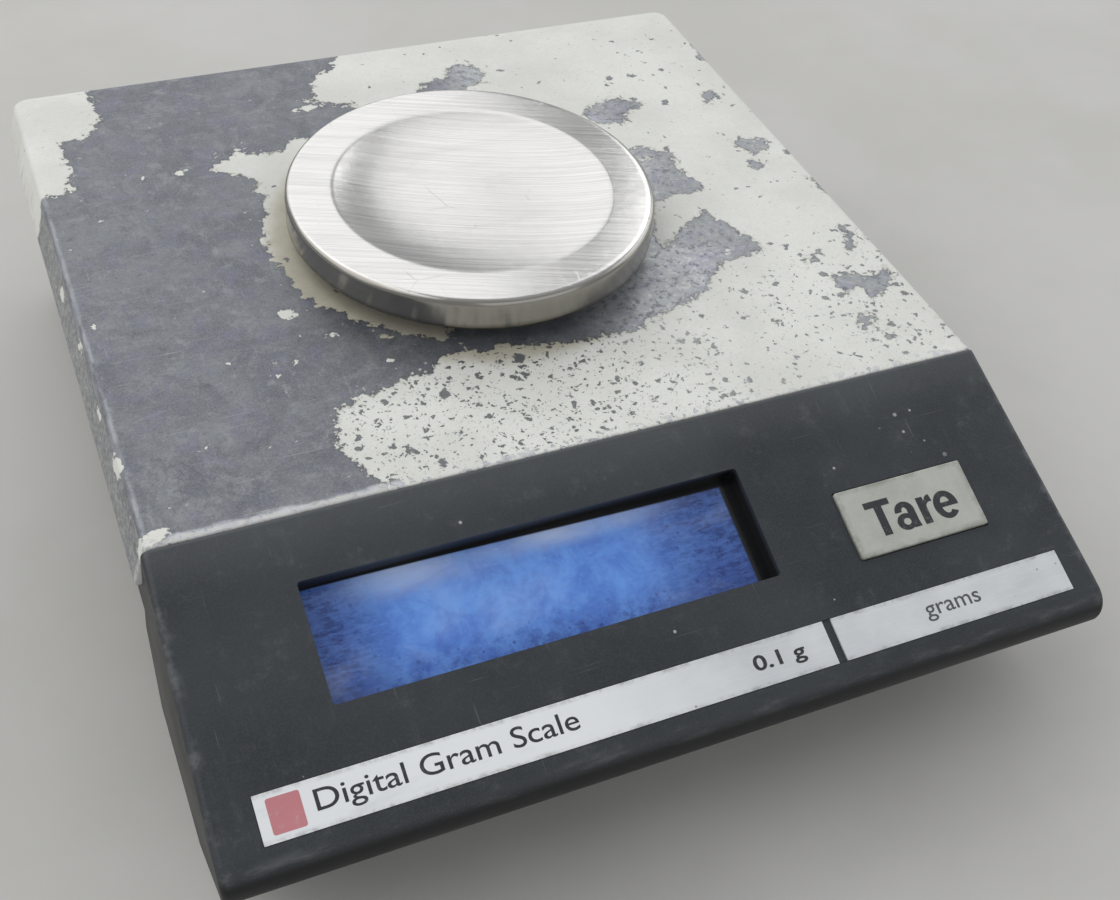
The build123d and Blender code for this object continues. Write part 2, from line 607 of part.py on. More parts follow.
with BuildPart() as serial_port:
    box_at(PORT_X - 15.4, PORT_X + 15.4, 97.5, 110.6, B_TOP, 33.5)
    box_at(PORT_X - 15.4, PORT_X + 15.4, 110.0, REAR_IN - 0.1, 21.9, 34.1)
    with BuildSketch(Plane.XZ.offset(-REAR_IN + 0.4)) as d_shell:
        with Locations((PORT_X, 28.0)):
            RectangleRounded(16.9, 8.3, 1.3)
    extrude(d_shell.sketch, amount=-5.9)
    with BuildSketch(Plane.XZ.offset(-REAR_IN - 1.5)):
        with Locations((PORT_X, 28.0)):
            RectangleRounded(16.1, 7.5, 0.9)
            RectangleRounded(14.9, 6.3, 0.6, mode=Mode.SUBTRACT)
        with Locations(*[(PORT_X + 2.76 * (i - 2), 29.3) for i in range(5)]):
            Circle(0.6)
        with Locations(*[(PORT_X + 2.76 * (i - 1.5), 26.6) for i in range(4)]):
            Circle(0.6)
    extrude(amount=-8, mode=Mode.SUBTRACT)
    with BuildSketch(Plane.XZ.offset(-100.0)):
        with Locations((PORT_X - 12.5, 28.0), (PORT_X + 12.5, 28.0)):
            Circle(1.5)
    extrude(amount=-20, mode=Mode.SUBTRACT)
save(serial_port, "serial_port")

with BuildPart() as port_standoffs:
    for x in (PORT_X - 12.5, PORT_X + 12.5):
        with BuildSketch(Plane.XZ.offset(-116.5)):
            with Locations((x, 28.0)):
                RegularPolygon(2.5, 6, major_radius=False)
        extrude(amount=-3.8)
        with BuildSketch(Plane.XZ.offset(-106.0)):
            with Locations((x, 28.0)):
                Circle(1.42)
        extrude(amount=-10.6)
    with BuildSketch(Plane.XZ.offset(-116.0)):
        with Locations((PORT_X - 12.5, 28.0), (PORT_X + 12.5, 28.0)):
            Circle(1.1)
    extrude(amount=-6, mode=Mode.SUBTRACT)
save(port_standoffs, "port_standoffs")

# --- internal wiring ---------------------------------------------------------------
with BuildPart() as cable_headers:
    panel_block(0, 44, 17, 23, -18.0, DB_N - 1.6)
    box_at(0, 44, 46.6, 51.0, B_TOP, B_TOP + 8)
    box_at(-18, -8, 46.6, 49.4, B_TOP, B_TOP + 6)
save(cable_headers, "cable_headers")

p_start = (Y_F - 20 * CA + 18.0 * SA, Z_TOP - 20 * SA - 18.0 * CA)
p_floor = (p_start[0] + (p_start[1] - 15.4) * math.tan(A), 15.4)
with BuildPart() as flat_cable:
    with BuildSketch(Plane.YZ.offset(3)):
        with BuildLine() as ribbon:
            FilletPolyline(p_start, p_floor, (41.8, 15.4), (43.2, 25.0), (46.6, 25.0), radius=1.4)
        trace(line_width=0.9)
    extrude(amount=38)
save(flat_cable, "flat_cable")

with BuildPart() as load_cell_cable:
    with BuildSketch(Plane.YZ.offset(-17)):
        with BuildLine():
            FilletPolyline((PAN_Y + 15.0, 33.0), (42.8, 33.0), (42.8, 24.0), (46.6, 24.0), radius=1.5)
        trace(line_width=1.4)
    extrude(amount=8)
save(load_cell_cable, "load_cell_cable")

# --- feet ---------------------------------------------------------------------------
with BuildPart() as rear_feet:
    for x in (-REAR_FOOT[0], REAR_FOOT[0]):
        with BuildSketch(Plane.XY.offset(Z_BASE)):
            with Locations((x, REAR_FOOT[1])):
                Circle(10.0)
        extrude(amount=-Z_BASE, taper=6)
    fillet(rear_feet.edges().group_by(Axis.Z)[0], radius=0.9)
    for x in (-REAR_FOOT[0], REAR_FOOT[0]):
        cyl_at(x, REAR_FOOT[1], 3.6, -1, 2.6, mode=Mode.SUBTRACT)
save(rear_feet, "rear_feet")

with BuildPart() as foot_inserts:
    for x in (-FOOT_X, FOOT_X):
        cyl_at(x, FOOT_Y, 4.45, Z_BASE + 0.2, 22.0)
        cyl_at(x, FOOT_Y, 3.0, Z_BASE - 1, 23, mode=Mode.SUBTRACT)
save(foot_inserts, "foot_inserts")

for side, sx in (("left", -1), ("right", 1)):
    with BuildPart() as foot_pad:
        with BuildSketch(Plane.XY):
            with Locations((sx * FOOT_X, FOOT_Y)):
                Circle(9.0)
        extrude(amount=3.6)
        fillet(foot_pad.edges().group_by(Axis.Z)[0], radius=0.6)
        cyl_at(sx * FOOT_X, FOOT_Y, 2.58, 1.6, 4, mode=Mode.SUBTRACT)
    save(foot_pad, side + "_foot_pad")
    with BuildPart() as foot_screw:
        with BuildSketch(Plane.XY.offset(3.8)):
            with Locations((sx * FOOT_X, FOOT_Y)):
                Circle(9.6)
            with Locations((sx * FOOT_X, FOOT_Y)):
                with PolarLocations(9.9, 24):
                    Circle(0.8, mode=Mode.SUBTRACT)
        extrude(amount=3.2)
        cyl_at(sx * FOOT_X, FOOT_Y, 2.5, 1.8, 4.0)
        cyl_at(sx * FOOT_X, FOOT_Y, 2.93, 6.8, 25.0)
    save(foot_screw, side + "_foot_screw")
print("front-top edge Y", round(Y_F, 3), "rear", round(Y_R, 3), "nose", round(C_Y - NOSE_R, 3), "chin", round(chin_y, 2))
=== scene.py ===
import math

import bmesh
import bpy
import numpy as np
from mathutils import Matrix, Vector


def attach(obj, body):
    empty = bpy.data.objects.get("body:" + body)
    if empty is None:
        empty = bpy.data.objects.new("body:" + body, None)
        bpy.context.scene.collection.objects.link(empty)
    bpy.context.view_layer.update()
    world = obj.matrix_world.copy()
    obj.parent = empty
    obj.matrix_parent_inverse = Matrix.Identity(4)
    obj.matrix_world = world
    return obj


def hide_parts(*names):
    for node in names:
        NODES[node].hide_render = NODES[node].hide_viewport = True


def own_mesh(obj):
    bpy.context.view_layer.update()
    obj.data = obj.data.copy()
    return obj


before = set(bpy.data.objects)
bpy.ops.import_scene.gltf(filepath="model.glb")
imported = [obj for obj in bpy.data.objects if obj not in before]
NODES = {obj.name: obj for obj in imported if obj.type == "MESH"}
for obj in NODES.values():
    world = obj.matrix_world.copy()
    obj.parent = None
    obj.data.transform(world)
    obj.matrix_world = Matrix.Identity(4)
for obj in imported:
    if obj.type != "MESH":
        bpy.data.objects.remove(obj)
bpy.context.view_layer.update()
MM = 0.001

# ---------------------------------------------------------------------------
# The main planes of the object, in millimetres, as the frame has them.
# ---------------------------------------------------------------------------
Y_F, Y_R, Z_TOP = -56.35, 117.65, 62.0
SLOPE = math.radians(20.5)
SA, CA = math.sin(SLOPE), math.cos(SLOPE)
PAN_Y, PAN_R, PAN_TOP = 25.45, 46.5, 75.2
WIN = (-73.0, 28.0, 14.6, 41.2)
KEY = (47.8, 82.0, 26.6, 43.3)
LABEL_S = (53.6, 63.4)
GRAIN = math.radians(-21)


def panel_matrix(x, s, n):
    """Placement square to the sloping front panel, x across and s down it."""
    m = Matrix(((1, 0, 0, x * MM),
                (0, CA, -SA, (Y_F - s * CA - n * SA) * MM),
                (0, SA, CA, (Z_TOP - s * SA + n * CA) * MM),
                (0, 0, 0, 1)))
    return m


# ---------------------------------------------------------------------------
# Material writing.
# ---------------------------------------------------------------------------
class Mat:
    """A node material with short calls for the nodes that are used most."""

    def __init__(self, name, **principled):
        self.m = bpy.data.materials.new(name)
        self.m.use_nodes = True
        self.t = self.m.node_tree
        self.t.nodes.clear()
        self.out = self.t.nodes.new("ShaderNodeOutputMaterial")
        self.b = self.t.nodes.new("ShaderNodeBsdfPrincipled")
        self.t.links.new(self.b.outputs["BSDF"], self.out.inputs["Surface"])
        self._p = None
        for k, v in principled.items():
            self.put(self.b.inputs[k.replace("_", " ")], v)

    def put(self, socket, v):
        if isinstance(v, bpy.types.NodeSocket):
            self.t.links.new(v, socket)
        elif isinstance(v, (tuple, list)):
            n = len(socket.default_value)
            v = list(v)
            socket.default_value = (v + [1.0])[:n] if len(v) < n else v[:n]
        else:
            socket.default_value = v

    def node(self, kind, **props):
        n = self.t.nodes.new(kind)
        for k, v in props.items():
            setattr(n, k, v)
        return n

    @property
    def P(self):
        if self._p is None:
            self._p = self.node("ShaderNodeTexCoord").outputs["Object"]
        return self._p

    def math(self, op, a, b=0.0, c=0.0, clamp=False):
        n = self.node("ShaderNodeMath", operation=op, use_clamp=clamp)
        self.put(n.inputs[0], a)
        self.put(n.inputs[1], b)
        if op in ("MULTIPLY_ADD", "SMOOTH_MIN", "SMOOTH_MAX", "COMPARE"):
            self.put(n.inputs[2], c)
        return n.outputs[0]

    def add(self, a, b): return self.math("ADD", a, b)
    def sub(self, a, b): return self.math("SUBTRACT", a, b)
    def mul(self, a, b): return self.math("MULTIPLY", a, b)
    def mx(self, a, b): return self.math("MAXIMUM", a, b)
    def mn(self, a, b): return self.math("MINIMUM", a, b)
    def inv(self, a): return self.math("SUBTRACT", 1.0, a)

    def vmath(self, op, a, b=(0, 0, 0), scale=1.0):
        n = self.node("ShaderNodeVectorMath", operation=op)
        self.put(n.inputs[0], a)
        if op != "SCALE":
            self.put(n.inputs[1], b)
        else:
            n.inputs["Scale"].default_value = scale
        return n.outputs["Value"] if op in ("DOT_PRODUCT", "LENGTH", "DISTANCE") else n.outputs["Vector"]

    def xyz(self, v):
        n = self.node("ShaderNodeSeparateXYZ")
        self.put(n.inputs[0], v)
        return n.outputs[0], n.outputs[1], n.outputs[2]

    def comb(self, x, y, z):
        n = self.node("ShaderNodeCombineXYZ")
        for i, v in enumerate((x, y, z)):
            self.put(n.inputs[i], v)
        return n.outputs[0]

    def step(self, v, a, b, lo=0.0, hi=1.0):
        """Smooth step of v from a to b, onto lo to hi."""
        n = self.node("ShaderNodeMapRange", interpolation_type="SMOOTHSTEP")
        self.put(n.inputs[0], v)
        for i, x in enumerate((a, b, lo, hi)):
            self.put(n.inputs[i + 1], x)
        return n.outputs[0]

    def mix(self, f, a, b, mode="MIX"):
        n = self.node("ShaderNodeMix", data_type="RGBA", blend_type=mode)
        self.put(n.inputs[0], f)
        self.put(n.inputs[6], a)
        self.put(n.inputs[7], b)
        return n.outputs[2]

    def fmix(self, f, a, b):
        n = self.node("ShaderNodeMix", data_type="FLOAT")
        self.put(n.inputs[0], f)
        self.put(n.inputs[2], a)
        self.put(n.inputs[3], b)
        return n.outputs[0]

    def noise(self, scale, detail=4.0, rough=0.55, vec=None, dist=0.0, color=False):
        n = self.node("ShaderNodeTexNoise")
        self.put(n.inputs["Vector"], vec if vec is not None else self.P)
        n.inputs["Scale"].default_value = scale
        n.inputs["Detail"].default_value = detail
        n.inputs["Roughness"].default_value = rough
        n.inputs["Distortion"].default_value = dist
        return n.outputs["Color"] if color else n.outputs["Fac"]

    def voronoi(self, scale, vec=None, feature="F1"):
        n = self.node("ShaderNodeTexVoronoi", feature=feature)
        self.put(n.inputs["Vector"], vec if vec is not None else self.P)
        n.inputs["Scale"].default_value = scale
        return n

    def stretch(self, sx, sy, sz, vec=None):
        return self.vmath("MULTIPLY", vec if vec is not None else self.P, (sx, sy, sz))

    def spots(self, scale, share, rmin, rmax, vec=None, soft=0.06):
        """Scattered spots: a share of the cells hold one, of random radius."""
        v = self.voronoi(scale, vec)
        r, g, _ = self.xyz(v.outputs["Color"])
        rad = self.math("MULTIPLY_ADD", r, rmax - rmin, rmin)
        on = self.math("LESS_THAN", g, share)
        val = self.sub(self.mul(rad, on), v.outputs["Distance"])
        return self.step(val, 0.0, soft)

    def bump(self, height, distance, strength=1.0, normal=None):
        n = self.node("ShaderNodeBump")
        self.put(n.inputs["Height"], height)
        n.inputs["Distance"].default_value = distance
        n.inputs["Strength"].default_value = strength
        if normal is not None:
            self.put(n.inputs["Normal"], normal)
        return n.outputs["Normal"]

    def set(self, **kw):
        for k, v in kw.items():
            self.put(self.b.inputs[k.replace("_", " ")], v)
        return self

    def attr(self, name):
        n = self.node("ShaderNodeAttribute", attribute_type="GEOMETRY", attribute_name=name)
        return n.outputs["Fac"]


def srgb(r, g, b):
    f = lambda c: (c / 255 / 12.92) if c / 255 <= 0.04045 else ((c / 255 + 0.055) / 1.055) ** 2.4
    return (f(r), f(g), f(b), 1.0)


def assign(obj, mat):
    obj.data.materials.clear()
    obj.data.materials.append(mat.m)


# ---------------------------------------------------------------------------
# Worn paint: outlines listed on the cover, unfolded onto the top plane.
# ---------------------------------------------------------------------------
PAINT = {
    "corner": [(-125, 140), (-97, 135), (-78, 124), (-79, 112), (-79, 105), (-79, 102), (-82, 97), (-86, 93),
               (-90, 92), (-92, 87), (-91, 83), (-90, 79), (-92, 70), (-96, 69), (-99, 69), (-102, 66), (-108, 64),
               (-125, 70)],
    "tongue": [(-57, 70), (-52, 74), (-47, 78), (-46, 74), (-41, 74), (-36, 74), (-31, 80), (-20, 72), (-20, 35),
               (-20, 0), (-18, -11), (-22, -14), (-30, -9), (-37, -2), (-44, 4), (-46, 9), (-49, 14), (-50, 21),
               (-51, 28), (-51, 37), (-48, 49), (-47, 60), (-50, 65)],
    "field": [(-8, 150), (-8, 118), (-10, 114), (-17, 107), (-23, 97), (-20, 92), (-12, 91), (0, 63), (38, 27),
              (50, 28), (50, 21), (44, 7), (45, 3), (50, 6), (55, 10), (60, 13), (63, 14), (65, 9), (66, 4),
              (68, 0), (69, -5), (64, -6), (58, -7), (54, -9), (49, -14), (43, -17), (37, -20), (30, -22),
              (23, -24), (17, -24), (9, -24), (2, -23), (-4, -20), (-9, -19), (-15, -21), (-18, -18), (-25, -21),
              (-31, -24), (-35, -24), (-40, -26), (-45, -26), (-48, -28), (-53, -30), (-55, -34), (-55, -40),
              (-54, -46), (-52, -50), (-49, -54), (-48, -75), (130, -75), (130, 150)],
}
BARE = [
    [(8, 90), (12, 95), (16, 97), (18, 95), (22, 101), (26, 104), (29, 101), (31, 96), (29, 92), (24, 91), (20, 88),
     (11, 88)],
    [(51, 68), (57, 72), (64, 73), (67, 71), (70, 68), (65, 66), (59, 60), (54, 61)],
    [(54, 47), (59, 47), (62, 44), (66, 45), (65, 38), (66, 30), (67, 23), (60, 24), (50, 22), (48, 32), (54, 42)],
    [(86, 42), (91, 43), (95, 41), (95, 38), (90, 35), (88, 39)],
    [(86, 32), (89, 33), (88, 30), (85, 29)],
    [(89, 68), (93, 69), (92, 65), (88, 62)],
    [(82, -21), (87, -21), (91, -24), (96, -22), (97, -26), (91, -31), (87, -31), (87, -27), (82, -27)],
    [(95, -3), (97, -3), (93, -12), (91, -13)],
    [(100, -8), (105, -7), (105, -9), (100, -10)],
    [(80, -11), (84, -11), (82, -14), (79, -14)],
    [(80, -36), (84, -37), (84, -40), (79, -41)],
    [(82, -41), (83, -44), (85, -47), (81, -45)],
    # wear that the rear and right-hand skirts would also have
    [(99, 20), (106, 22), (112, 15), (108, 8), (101, 12)],
    [(100, 96), (108, 92), (112, 84), (105, 80), (99, 86)],
    [(40, 118), (52, 123), (60, 130), (48, 131), (36, 124)],
    [(-60, 119), (-30, 117), (-12, 121), (-30, 131), (-66, 131)],
    [(100, -44), (106, -40), (112, -56), (102, -58)],
]
# loose islands of paint left on the bare side: x, y, half length, half width, turn in degrees
CHIPS = [
    (-63.6, 70.8, 2.2, 1.2, 20), (-24.3, 92.0, 3.6, 1.5, 10), (-53.1, 6.1, 2.6, 1.9, -30), (-50.2, 27.5, 1.4, 1.8, 0),
    (-45.2, 7.9, 1.6, 1.0, 40), (-45.8, -4.7, 1.7, 0.9, -20), (-56.9, -11.1, 1.1, 0.8, 0), (-34.1, -8.5, 1.8, 0.9, -35),
    (-17.7, -18.3, 1.0, 1.8, 0), (-74.0, 71.0, 1.0, 0.7, 0), (-96.6, 15.3, 1.1, 0.9, 0), (-71.0, -7.3, 0.8, 0.6, 0),
    (-81.3, -31.8, 0.7, 0.6, 0), (-62.0, -14.2, 0.8, 0.6, 0), (-53.1, -2.4, 1.0, 0.7, 30), (-101.0, -30.5, 2.2, 3.2, 8),
    (-98.0, -54.0, 4.0, 2.0, 8), (-101.5, -55.5, 2.2, 2.4, 0), (60.4, -3.6, 1.1, 0.8, 20), (58.2, 41.5, 1.4, 1.2, 0),
    (82.6, 67.1, 1.6, 1.2, 0), (-88.0, 55.0, 0.9, 0.6, 0), (-102.0, 12.0, 1.2, 2.2, 0), (-102.5, -12.0, 1.4, 3.0, 0),
    (-104.0, 34.0, 1.6, 2.4, 0), (-70.0, 20.0, 0.6, 0.5, 0), (-36.0, -17.0, 1.0, 0.5, -30),
]


def signed_distance(pts, poly):
    """Distance from each point to a closed outline, positive inside, mm."""
    a = np.array(poly, float)
    b = np.roll(a, -1, 0)
    best = np.full(len(pts), 1e9)
    inside = np.zeros(len(pts), bool)
    for p, q in zip(a, b):
        e = q - p
        w = pts - p
        t = np.clip((w @ e) / max(e @ e, 1e-12), 0, 1)
        best = np.minimum(best, np.hypot(*(w - t[:, None] * e).T))
        cross = ((p[1] > pts[:, 1]) != (q[1] > pts[:, 1]))
        with np.errstate(divide="ignore", invalid="ignore"):
            xi = e[0] * (pts[:, 1] - p[1]) / (e[1] if abs(e[1]) > 1e-12 else 1e-12) + p[0]
        inside ^= cross & (pts[:, 0] < xi)
    return np.where(inside, best, -best)


def chip_distance(pts):
    best = np.full(len(pts), -9.0)
    for x, y, a, b, turn in CHIPS:
        c, s = math.cos(math.radians(turn)), math.sin(math.radians(turn))
        u = (pts[:, 0] - x) * c + (pts[:, 1] - y) * s
        v = -(pts[:, 0] - x) * s + (pts[:, 1] - y) * c
        k = np.hypot(u / a, v / b)
        best = np.maximum(best, (1 - k) * min(a, b))
    return best


def dot_density(pts):
    """How thickly the paint is pitted, 0 to 1."""
    x, y = pts[:, 0], pts[:, 1]
    ramp = lambda v, lo, hi: np.clip((v - lo) / (hi - lo), 0, 1)
    front = ramp(x, -60, -50) * (1 - ramp(x, 36, 52)) * (1 - ramp(y, -26, -12))
    right = 0.42 * ramp(x, 30, 60) * (1 - ramp(y, -16, 2)) + 0.10 * ramp(x, 60, 90) * (1 - ramp(y, 0, 30))
    clump = 0.5 * np.exp(-(((x - 86) / 13) ** 2 + ((y + 27) / 9) ** 2))
    right = right + clump
    rest = np.where(x > 55, 0.09, 0.045)
    return np.clip(np.maximum.reduce([front, right, rest]), 0, 1)


def new_mesh(name, verts, faces, smooth=True):
    me = bpy.data.meshes.new(name)
    me.from_pydata([tuple(v) for v in verts], [], faces)
    me.update()
    if smooth:
        me.shade_smooth()
    ob = bpy.data.objects.new(name, me)
    bpy.context.scene.collection.objects.link(ob)
    return ob


def ring_faces(n, rows, closed_rows=False):
    faces = []
    m = rows if closed_rows else rows - 1
    for r in range(m):
        a, b = r * n, ((r + 1) % rows) * n
        for i in range(n):
            j = (i + 1) % n
            faces.append((a + i, a + j, b + j, b + i))
    return faces


# ---------------------------------------------------------------------------
# The folded top cover: one closed thin shell.
# ---------------------------------------------------------------------------
def cover_outline(z, inset=0.0, flat=False):
    """Plan outline of the cover's outside at height z, as a closed loop."""
    zc = Z_TOP - 1.4
    if flat:
        hx, yr, yf = 98.96, Y_R - 1.04, Y_F + 0.5
    else:
        hx = 98.96 + math.sqrt(max(0.0, 1.96 - (z - zc) ** 2)) if z > zc + 0.402 else 100 + 0.3 * (Z_TOP - z)
        yr = Y_R + (hx - 100.0)
        yf = Y_F + 0.5 - math.sqrt(max(0.0, 0.25 - (z - 61.5) ** 2)) if z > 61.5 else Y_F
    hx -= inset
    yr -= inset
    yf += inset
    rad = max(1.2, 4.0 + (hx - 100.0))
    cx, cy = hx - rad, yr - rad
    pts = []
    nf, ns, nr, nc = 132, 112, 120, 10
    for i in range(nf):
        pts.append((-hx + 2 * hx * i / nf, yf))
    for i in range(ns):
        pts.append((hx, yf + (cy - yf) * i / ns))
    for i in range(nc):
        a = (math.pi / 2) * i / nc
        pts.append((cx + rad * math.cos(a), cy + rad * math.sin(a)))
    for i in range(nr):
        pts.append((cx - 2 * cx * i / nr, yr))
    for i in range(nc):
        a = math.pi / 2 + (math.pi / 2) * i / nc
        pts.append((-cx + rad * math.cos(a), cy + rad * math.sin(a)))
    for i in range(ns):
        pts.append((-hx, cy + (yf - cy) * i / ns))
    return np.array(pts)


def build_cover():
    flat = cover_outline(Z_TOP, flat=True)
    n = len(flat)
    ang = np.arctan2(flat[:, 1] - PAN_Y, flat[:, 0])
    ring = lambda r: np.stack([r * np.cos(ang), PAN_Y + r * np.sin(ang)], 1)
    rows, unfolded = [], []

    def row(xy, z, un=None):
        rows.append(np.column_stack([xy, np.full(n, z)]))
        unfolded.append(xy if un is None else un)

    # the drawn collar round the post's hole
    row(ring(11.5), 60.85)
    row(ring(11.5), 62.75)
    row(ring(11.75), 63.0)
    row(ring(12.75), 63.0)
    row(ring(13.0), 62.75)
    row(ring(13.05), 62.12)
    row(ring(13.3), 62.0)
    inner = ring(13.3)
    steps = 66
    for k in range(1, steps + 1):
        t = k / steps
        t = t ** 0.92
        row(inner * (1 - t) + flat * t, 62.0)
    nominal = cover_outline(61.0)
    out = flat - np.array([0, PAN_Y])
    way = nominal - flat
    way /= np.maximum(np.linalg.norm(way, axis=1), 1e-9)[:, None]
    zs = [61.96, 61.86, 61.7, 61.45, 61.2, 61.0, 60.3, 59.5, 58.6, 57.7, 56.8, 55.9, 55.0, 54.1, 53.3, 52.6, 52.15]
    run = 0.0
    last = flat
    lastz = 62.0
    for z in zs:
        o = cover_outline(z)
        run += float(np.median(np.linalg.norm(o - last, axis=1))) * 0 + math.hypot(
            float(np.abs(o[n // 3, 0] - last[n // 3, 0])), lastz - z)
        row(o, z, flat + way * run)
        last, lastz = o, z
    row(cover_outline(52.0, 0.15), 52.0, flat + way * (run + 0.2))
    # the inside of the sheet
    row(cover_outline(52.0, 1.0), 52.0, flat + way * (run + 1))
    row(cover_outline(52.3, 1.2), 52.2, flat + way * (run + 1))
    for z in (55.0, 58.0, 60.0):
        row(cover_outline(z, 1.25), z, flat + way * 5)
    row(cover_outline(60.8, 1.9), 60.8, flat)
    for t in (0.85, 0.5, 0.15):
        row(inner * (1 - t) + (flat * np.array([0.985, 0.985])) * t, 60.8)
    verts = np.concatenate(rows) * MM
    ob = new_mesh("top_cover_shell", verts, ring_faces(n, len(rows), closed_rows=True))
    un = np.concatenate(unfolded)
    paint = np.maximum.reduce([signed_distance(un, p) for p in PAINT.values()])
    for p in BARE:
        paint = np.minimum(paint, -signed_distance(un, p))
    for name, values in (("paint", paint), ("chip", chip_distance(un)), ("pits", dot_density(un))):
        a = ob.data.attributes.new(name, "FLOAT", "POINT")
        a.data.foreach_set("value", np.clip(values, -12, 12).astype(np.float32))
    bm = bmesh.new()
    bm.from_mesh(ob.data)
    bmesh.ops.recalc_face_normals(bm, faces=bm.faces)
    bm.to_mesh(ob.data)
    bm.free()
    ob.data.shade_smooth()
    return ob


def mat_cover():
    m = Mat("worn_paint_on_steel")
    P = m.P
    px, py, pz = m.xyz(P)
    d = m.attr("paint")
    chip = m.attr("chip")
    dens = m.attr("pits")
    n1 = m.noise(165, 7, 0.62, dist=0.25)
    n2 = m.noise(620, 4, 0.6)
    v = m.voronoi(430)
    v2 = m.voronoi(980)
    rag = m.add(m.mul(m.sub(n1, 0.5), 8.0), m.add(m.mul(m.sub(n2, 0.5), 5.0), m.add(
        m.mul(m.sub(v.outputs["Distance"], 0.42), -1.7), m.mul(m.sub(v2.outputs["Distance"], 0.42), -1.0))))
    field = m.add(d, rag)
    # pits in the paint: two sizes of spot on a warped grid
    warp = m.vmath("SCALE", m.vmath("SUBTRACT", m.noise(420, 3, 0.6, color=True), (0.5, 0.5, 0.5)), scale=0.0042)
    wp = m.vmath("ADD", P, warp)

    def pits(scale, reach, rmin, rmax, share):
        vv = m.voronoi(scale, wp)
        r, g, _ = m.xyz(vv.outputs["Color"])
        rad = m.math("MULTIPLY_ADD", m.math("POWER", r, reach), rmax - rmin, rmin)
        on = m.math("LESS_THAN", g, m.mul(dens, share))
        return m.sub(m.mul(rad, on), vv.outputs["Distance"])

    blob = pits(150, 1.6, 0.10, 0.27, 0.36)
    big = m.mx(blob, pits(300, 1.5, 0.12, 0.37, 0.78))
    small = pits(560, 1.2, 0.12, 0.42, 0.80)
    pin = pits(1050, 1.0, 0.12, 0.38, 0.60)
    pit = m.mx(m.mul(m.step(big, 0.0, 0.05), 1.0), m.mx(m.step(small, 0.0, 0.07), m.mul(m.step(pin, 0.0, 0.1), 0.75)))
    fieldmask = m.step(field, -0.05, 0.12)
    paint = m.mul(fieldmask, m.inv(pit))
    chipfield = m.add(chip, m.add(m.mul(m.sub(n2, 0.5), 3.6), m.add(m.mul(m.sub(n1, 0.5), 1.6), m.mul(m.sub(v.outputs["Distance"], 0.42), -1.1))))
    chipmask = m.step(chipfield, 0.0, 0.1)
    # crumbs of paint on the bare side, more of them close to the edge of the paint
    near = m.step(d, -6.0, -0.4, 0.035, 0.46)
    near = m.add(near, m.step(px, 0.020, 0.040, 0.0, 0.10))
    vc = m.voronoi(640, wp)
    cr, cg, _ = m.xyz(vc.outputs["Color"])
    crumb = m.step(m.sub(m.mul(m.math("MULTIPLY_ADD", cr, 0.22, 0.05), m.math("LESS_THAN", cg, near)), vc.outputs["Distance"]), 0.0, 0.06)
    paint = m.mx(paint, m.mx(chipmask, m.mul(crumb, 0.8)))
    # paint that clings along the front fold, and as a scoured film on the left-hand skirt
    cling = m.sub(m.step(py, (Y_F + 4.5) * MM, (Y_F + 0.3) * MM, 0.0, 0.30), m.math("ABSOLUTE", m.sub(m.noise(1.0, 5, 0.68, vec=m.stretch(120, 420, 420)), 0.5)))
    cling = m.step(cling, 0.16, 0.25, 0.0, 0.62)
    film = m.mul(m.step(pz, 0.0614, 0.0600), m.step(px, -0.097, -0.099))
    film = m.mul(film, m.step(m.noise(1.0, 6, 0.78, vec=m.stretch(900, 620, 900)), 0.42, 0.66, 0.05, 0.62))
    paint = m.mx(paint, m.mul(m.mx(cling, film), m.inv(fieldmask)))

    # paint: warm white, dirtied
    clouds = m.noise(34, 5, 0.6)
    fine = m.noise(1300, 3, 0.7)
    cream = m.mix(m.step(clouds, 0.35, 0.68), srgb(232, 233, 228), srgb(221, 222, 216))
    cream = m.mix(m.mul(m.step(fine, 0.45, 0.8), 0.30), cream, srgb(186, 185, 170))
    specks = m.spots(780, 0.05, 0.08, 0.22)
    cream = m.mix(m.mul(specks, 0.55), cream, srgb(120, 116, 104))
    # painted shade: a grey band just inside the edge of the paint
    paint_edge_shade = m.mul(m.step(field, 1.1, 0.05), 0.34)
    cream = m.mix(paint_edge_shade, cream, srgb(158, 156, 144))
    cream = m.mix(m.mul(chipmask, 0.8), cream, srgb(232, 233, 226))
    # a ring that hugs the pan on its left and front: dirt, and the painted shadow the pan casts there
    rx, ry = px, m.sub(py, PAN_Y * MM)
    rr = m.math("SQRT", m.add(m.mul(rx, rx), m.mul(ry, ry)))
    side = m.math("DIVIDE", m.add(m.mul(rx, -0.78), m.mul(ry, -0.62)), rr)
    ringn = m.mul(m.sub(m.noise(90, 4, 0.6), 0.5), 0.006)
    ring = m.mul(m.step(m.add(rr, ringn), 0.0545, 0.0488), m.step(side, -0.35, 0.35))
    stain_and_shadow = m.mix(m.noise(240, 4, 0.65), srgb(150, 142, 112), srgb(196, 191, 168))
    cream = m.mix(m.mul(ring, 0.72), cream, stain_and_shadow)
    # painted shade on the cover directly under the pan
    painted_underside_shade = m.step(rr, 0.0465, 0.0428)
    cream = m.mix(m.mul(painted_underside_shade, 0.35), cream, srgb(150, 148, 134))

